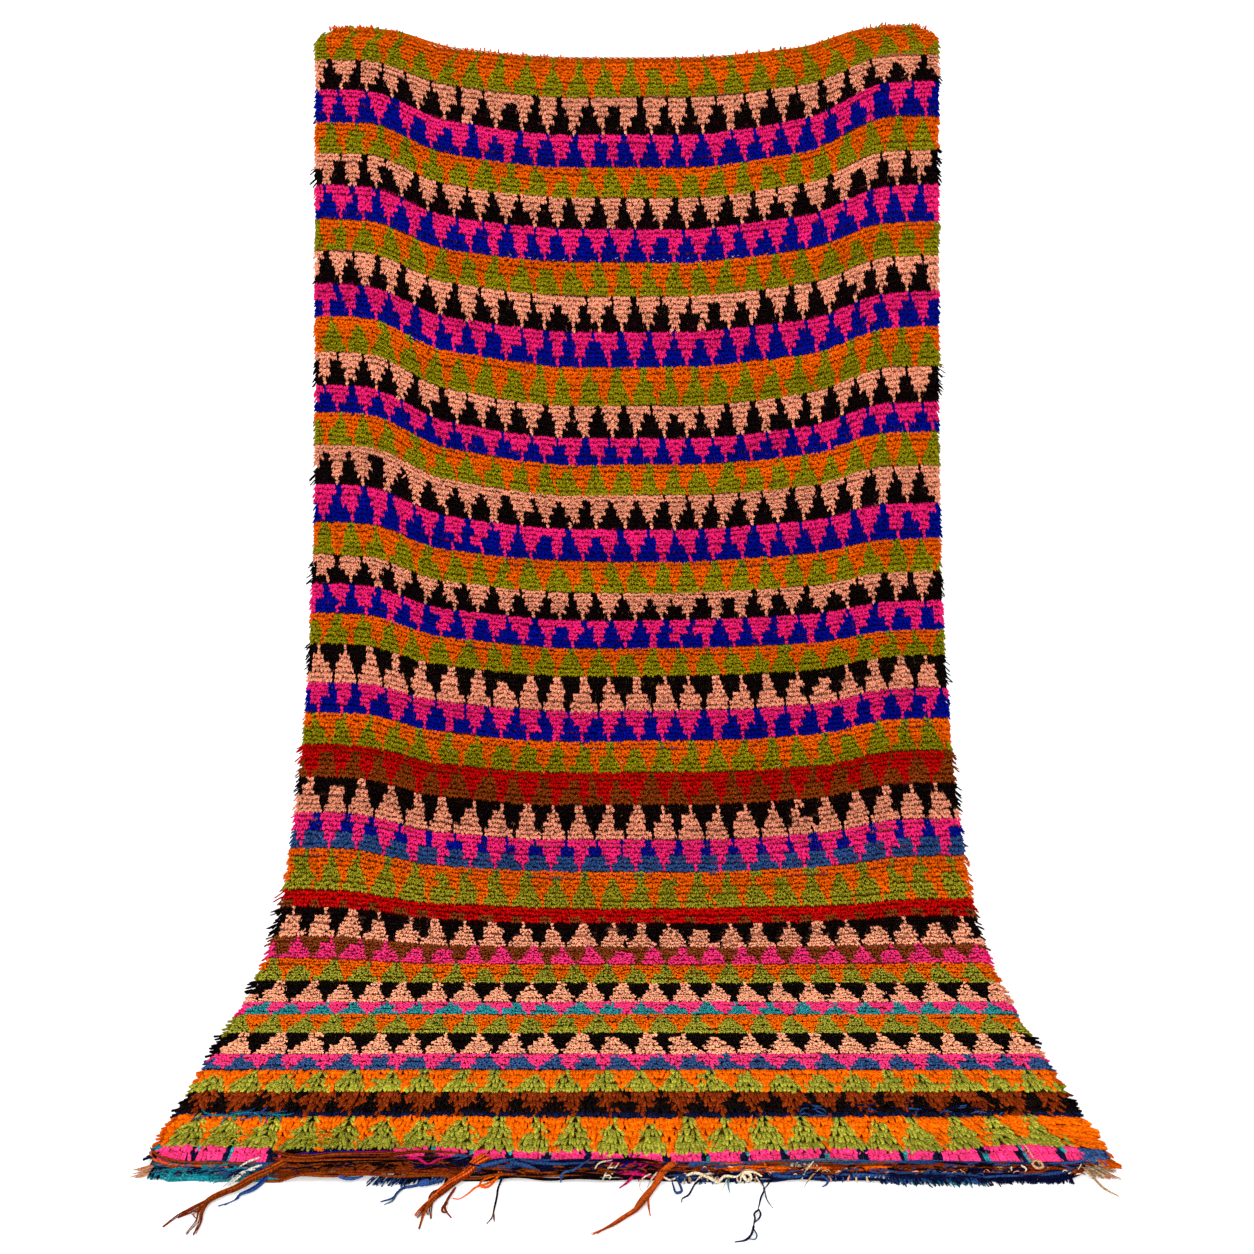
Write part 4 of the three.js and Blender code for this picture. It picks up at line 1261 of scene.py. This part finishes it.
# %% Cut ends
# colours, count, x from and to, run from and to, length, lean, width, lift
FUZZ = [
    ("navy teal", 50, -709, -688, -8, -16, 20, -3, 3.4, 9),
    ("turquoise turquoise teal turquoise slate", 90, -686, -645, -16, -22, 17, -2, 3.6, 9),
    ("turquoise teal", 60, -642, -612, -18, -24, 17, 0, 3.4, 9),
    ("teal slate", 50, -612, -584, -20, -26, 13, 0, 3.2, 8),
    ("tan peach", 46, -712, -700, 4, -20, 12, -26, 1.6, 4),
    ("navy steel black", 44, -374, -318, -30, -38, 17, -9, 2.4, 7),
    ("navy black", 44, -320, -262, -24, -36, 14, -9, 2.8, 8),
    ("cream tan", 26, 86, 200, -30, -40, 7, 0, 2.6, 8),
    ("steel navy", 34, 60, 205, -34, -40, 8, -2, 2.4, 4),
    ("tan cream", 60, 246, 284, -6, -16, 14, -4, 2.0, 14),
    ("cream peach steel", 70, 286, 384, -18, -38, 7, -2, 2.8, 8),
    ("navy steel", 190, 372, 520, -32, -40, 10, 2, 2.8, 5),
    ("navy", 120, 520, 660, -33, -40, 8, 2, 2.8, 5),
    ("navy teal", 60, 400, 560, -34, -40, 17, 6, 2.0, 3),
    ("tan cream", 90, 684, 704, 14, -24, 12, 18, 2.0, 9),
    ("tan peach", 50, 690, 712, 10, -20, 16, 26, 1.5, 5),
    ("orange", 40, 700, 716, 60, 20, 26, 24, 4.2, 10),
    ("orange", 26, 704, 718, 30, 6, 16, 28, 4.2, 8),
    ("brown rust", 24, 702, 718, 110, 80, 20, 14, 4.0, 9),
    ("lime", 30, -505, -425, 70, 24, 20, 6, 2.0, 16),
    ("magenta", 30, -4, 40, -12, -30, 12, -8, 2.2, 12),
]
HIGHEST_ROOT = 6


def cut_ends(seed):
    """Corners, colours and lengths of all the cut ends, a table row at a time."""
    random = np.random.default_rng(seed)
    results = []
    for names, count, x0, x1, run0, run1, length, lean, width, lift in FUZZ:
        names = [WOOL[name] for name in names.split()]
        ones = np.ones(count)
        x = random.uniform(x0, x1, count)
        run = random.uniform(run1, run0, count)
        longs = length * random.uniform(0.6, 1.15, count)
        leans = lean * random.uniform(0.5, 1.3, count) + random.normal(0, 2.5, count)
        root = min(lift, HIGHEST_ROOT) * ones
        corners = tuft_arrays(
            x, run, longs, leans, width * ones, width * ones, root, lift * random.uniform(0.8, 1.2, count),
            random.uniform(-0.6, 0.6, count), 1.1, 0.85 * lift)
        wool = np.array(names)[random.integers(0, len(names), count)]
        shades = WOOL_COLOURS[wool] * random.uniform(0.8, 1.2, (count, 1))
        results.append((corners, shades, np.hypot(longs, leans)))
    return joined(results)


parts, shades, lengths = cut_ends(31)
end_tufts = tuft_mesh("end_cut_ends", parts, shades, lengths, edge_wool)
print("cut ends:", len(lengths))

# %% [markdown]
# ## Threads on the pile
#
# Ends of other yarns lie on the pile here and there: short dashes of cream in the upper bands, a
# few of blue and light green near the front, and many of all colours on the flatwoven end. Each
# is a short bent thread.

# %% Short threads
# colours, count, x from and to, run from and to, length, radius, height
THREADS = [
    ("white cream", 22, -330, 330, 2318, 2328, 7, 0.6, 15),
    ("cream", 12, -500, 500, 2040, 2064, 6, 0.6, 15),
    ("cream", 12, -420, 420, 1150, 1210, 9, 0.6, 15),
    ("cream olive", 12, -560, 560, 980, 1060, 7, 0.6, 15),
    ("lime olive", 16, -640, -580, 34, 84, 20, 1.1, 15),
    ("lime olive", 22, -506, -446, 34, 84, 20, 1.1, 15),
    ("steel teal", 12, -690, -540, 122, 132, 56, 1.6, 15),
    ("navy steel", 30, 280, 620, 120, 160, 26, 1.6, 15),
    ("lime", 30, -700, -250, 30, 90, 12, 1.0, 15),
    ("navy steel brown black rust", 130, 60, 680, -34, -6, 24, 1.5, 9),
    ("cream tan peach steel", 60, 60, 680, -38, -14, 11, 1.0, 9),
    ("navy brown black", 60, -210, 60, -36, -8, 26, 1.5, 12),
    ("black brown navy", 70, -500, -236, -36, -6, 40, 1.4, 17),
    ("slate steel navy teal", 60, -700, -540, -36, -6, 22, 1.5, 9),
]
THREAD_SECTIONS = 5


def short_threads(seed, sections=THREAD_SECTIONS):
    random = np.random.default_rng(seed)
    paths, radii, shades = [], [], []
    for names, count, x0, x1, run0, run1, length, radius, height in THREADS:
        names = names.split()
        for number in range(count):
            long = length * random.uniform(0.6, 1.3)
            angle = random.normal(0, 0.5 if run0 > 0 else 0.3) + random.choice([0, math.pi])
            bend = random.uniform(-1.6, 1.6)
            along = (np.arange(sections) / (sections - 1) - 0.5) * long
            turn = angle + bend * along / long
            x = random.uniform(x0, x1) + along * np.cos(turn)
            run = random.uniform(run0, run1) + along * np.sin(turn)
            lift = height + 1.4 * np.cos(along / long * 3.1)
            paths.append(cloth_point(x, run_at(x, run) if run0 > 0 else run, lift))
            radii.append(tapered(radius, sections, 0.4))
            shades.append(WOOL_COLOURS[WOOL[names[number % len(names)]]] * random.uniform(0.8, 1.2))
    shades = np.repeat(np.array(shades)[:, None], sections, axis=1)
    return np.array(paths), np.array(radii), shades


thread_paths, thread_radii, thread_shades = short_threads(8)
threads = sweep_mesh("threads_on_pile", thread_paths, thread_radii, thread_shades, 4, edge_wool)
print("threads:", len(thread_paths))

# %% [markdown]
# ## The top edge
#
# The first wefts at the top are held by a thin red and white cord that shows in the middle of the
# edge, and pile of the first row stands up past the edge in small uneven tufts, closest together
# at the two corners.

# %% Cord along the top edge
CORD_SECTIONS = 220


def edge_cord(low, high, names, radius, pitch, sections=CORD_SECTIONS):
    """Paths, radii and colours of yarns that turn round each other along the top edge."""
    x = np.linspace(low, high, sections)
    paths, shades = [], []
    for number, name in enumerate(names):
        turn = 2 * math.pi * (x / pitch + number / len(names))
        run = run_at(x, CENTRE_LENGTH) - 0.5 + radius * np.cos(turn)
        paths.append(cloth_point(x, run, 7.5 + radius * np.sin(turn)))
        shades.append(np.tile(WOOL_COLOURS[WOOL[name]], (sections, 1)))
    return np.array(paths), np.full((len(names), sections), radius), np.array(shades)


cord_paths, cord_radii, cord_shades = edge_cord(-462, 240, ["red", "cream"], 1.3, 13)
top_cord = sweep_mesh("top_edge_cord", cord_paths, cord_radii, cord_shades, 5, edge_wool)

# %% Tufts along the top edge
CORNER_TUFTS, EDGE_TUFTS = 150, 340
CORNER_FROM, CORNER_TO, EDGE_TO = 600, 712, 610
# distance from the middle, then how much the tufts there stand up past the edge
EDGE_REACH = np.array([(0, 0.7), (300, 1.2), (610, 1.3), (720, 0.9)])


def edge_tufts(seed):
    """Corners, colours and lengths of the tufts: those of the corners, then the rest."""
    random = np.random.default_rng(seed)
    corner_x = random.uniform(CORNER_FROM, CORNER_TO, CORNER_TUFTS) * random.choice([-1, 1], CORNER_TUFTS)
    x = np.concatenate([corner_x, random.uniform(-EDGE_TO, EDGE_TO, EDGE_TUFTS)])
    n = len(x)
    ones = np.ones(n)
    line = CENTRE_LENGTH - 4 - 10 * random.random(n)
    reach = random.uniform(5, 12, n) * np.interp(np.abs(x), EDGE_REACH[:, 0], EDGE_REACH[:, 1])
    lean = np.sign(x) * random.uniform(-2, 8, n) * (np.abs(x) > CORNER_FROM)
    corners = tuft_arrays(
        x * corner_share(line), run_at(x, line), -reach, lean, 3.8 * ones, 3.8 * ones, 4 * ones,
        random.uniform(6, 12, n), random.uniform(-0.6, 0.6, n))
    wool = chart[0, np.clip((x / BODY_WIDTH + 0.5) * KNOTS, 0, KNOTS - 1).astype(int)]
    return corners, WOOL_COLOURS[wool] * random.uniform(0.7, 1.2, (n, 1)), reach


parts, shades, lengths = edge_tufts(3)
top_tufts = tuft_mesh("top_edge_tufts", parts, shades, lengths, edge_wool)
print("top edge tufts:", len(lengths))

# %% Finish: every piece rides on the rug and stands for its solids
END_PIECES = [end_wefts, loose_yarns, end_tufts]
BODY_PIECES = [ground, *pile_pieces, threads, top_cord, top_tufts]
for piece in [*BODY_PIECES, *side_pieces.values(), *END_PIECES]:
    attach(piece, "root")
for piece in BODY_PIECES:
    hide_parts("rug_body")
for side, piece in side_pieces.items():
    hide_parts(*[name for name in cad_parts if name.startswith(f"{side}_edge_locks")])
for piece in END_PIECES:
    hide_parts(*[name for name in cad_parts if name.startswith("end_strip")])
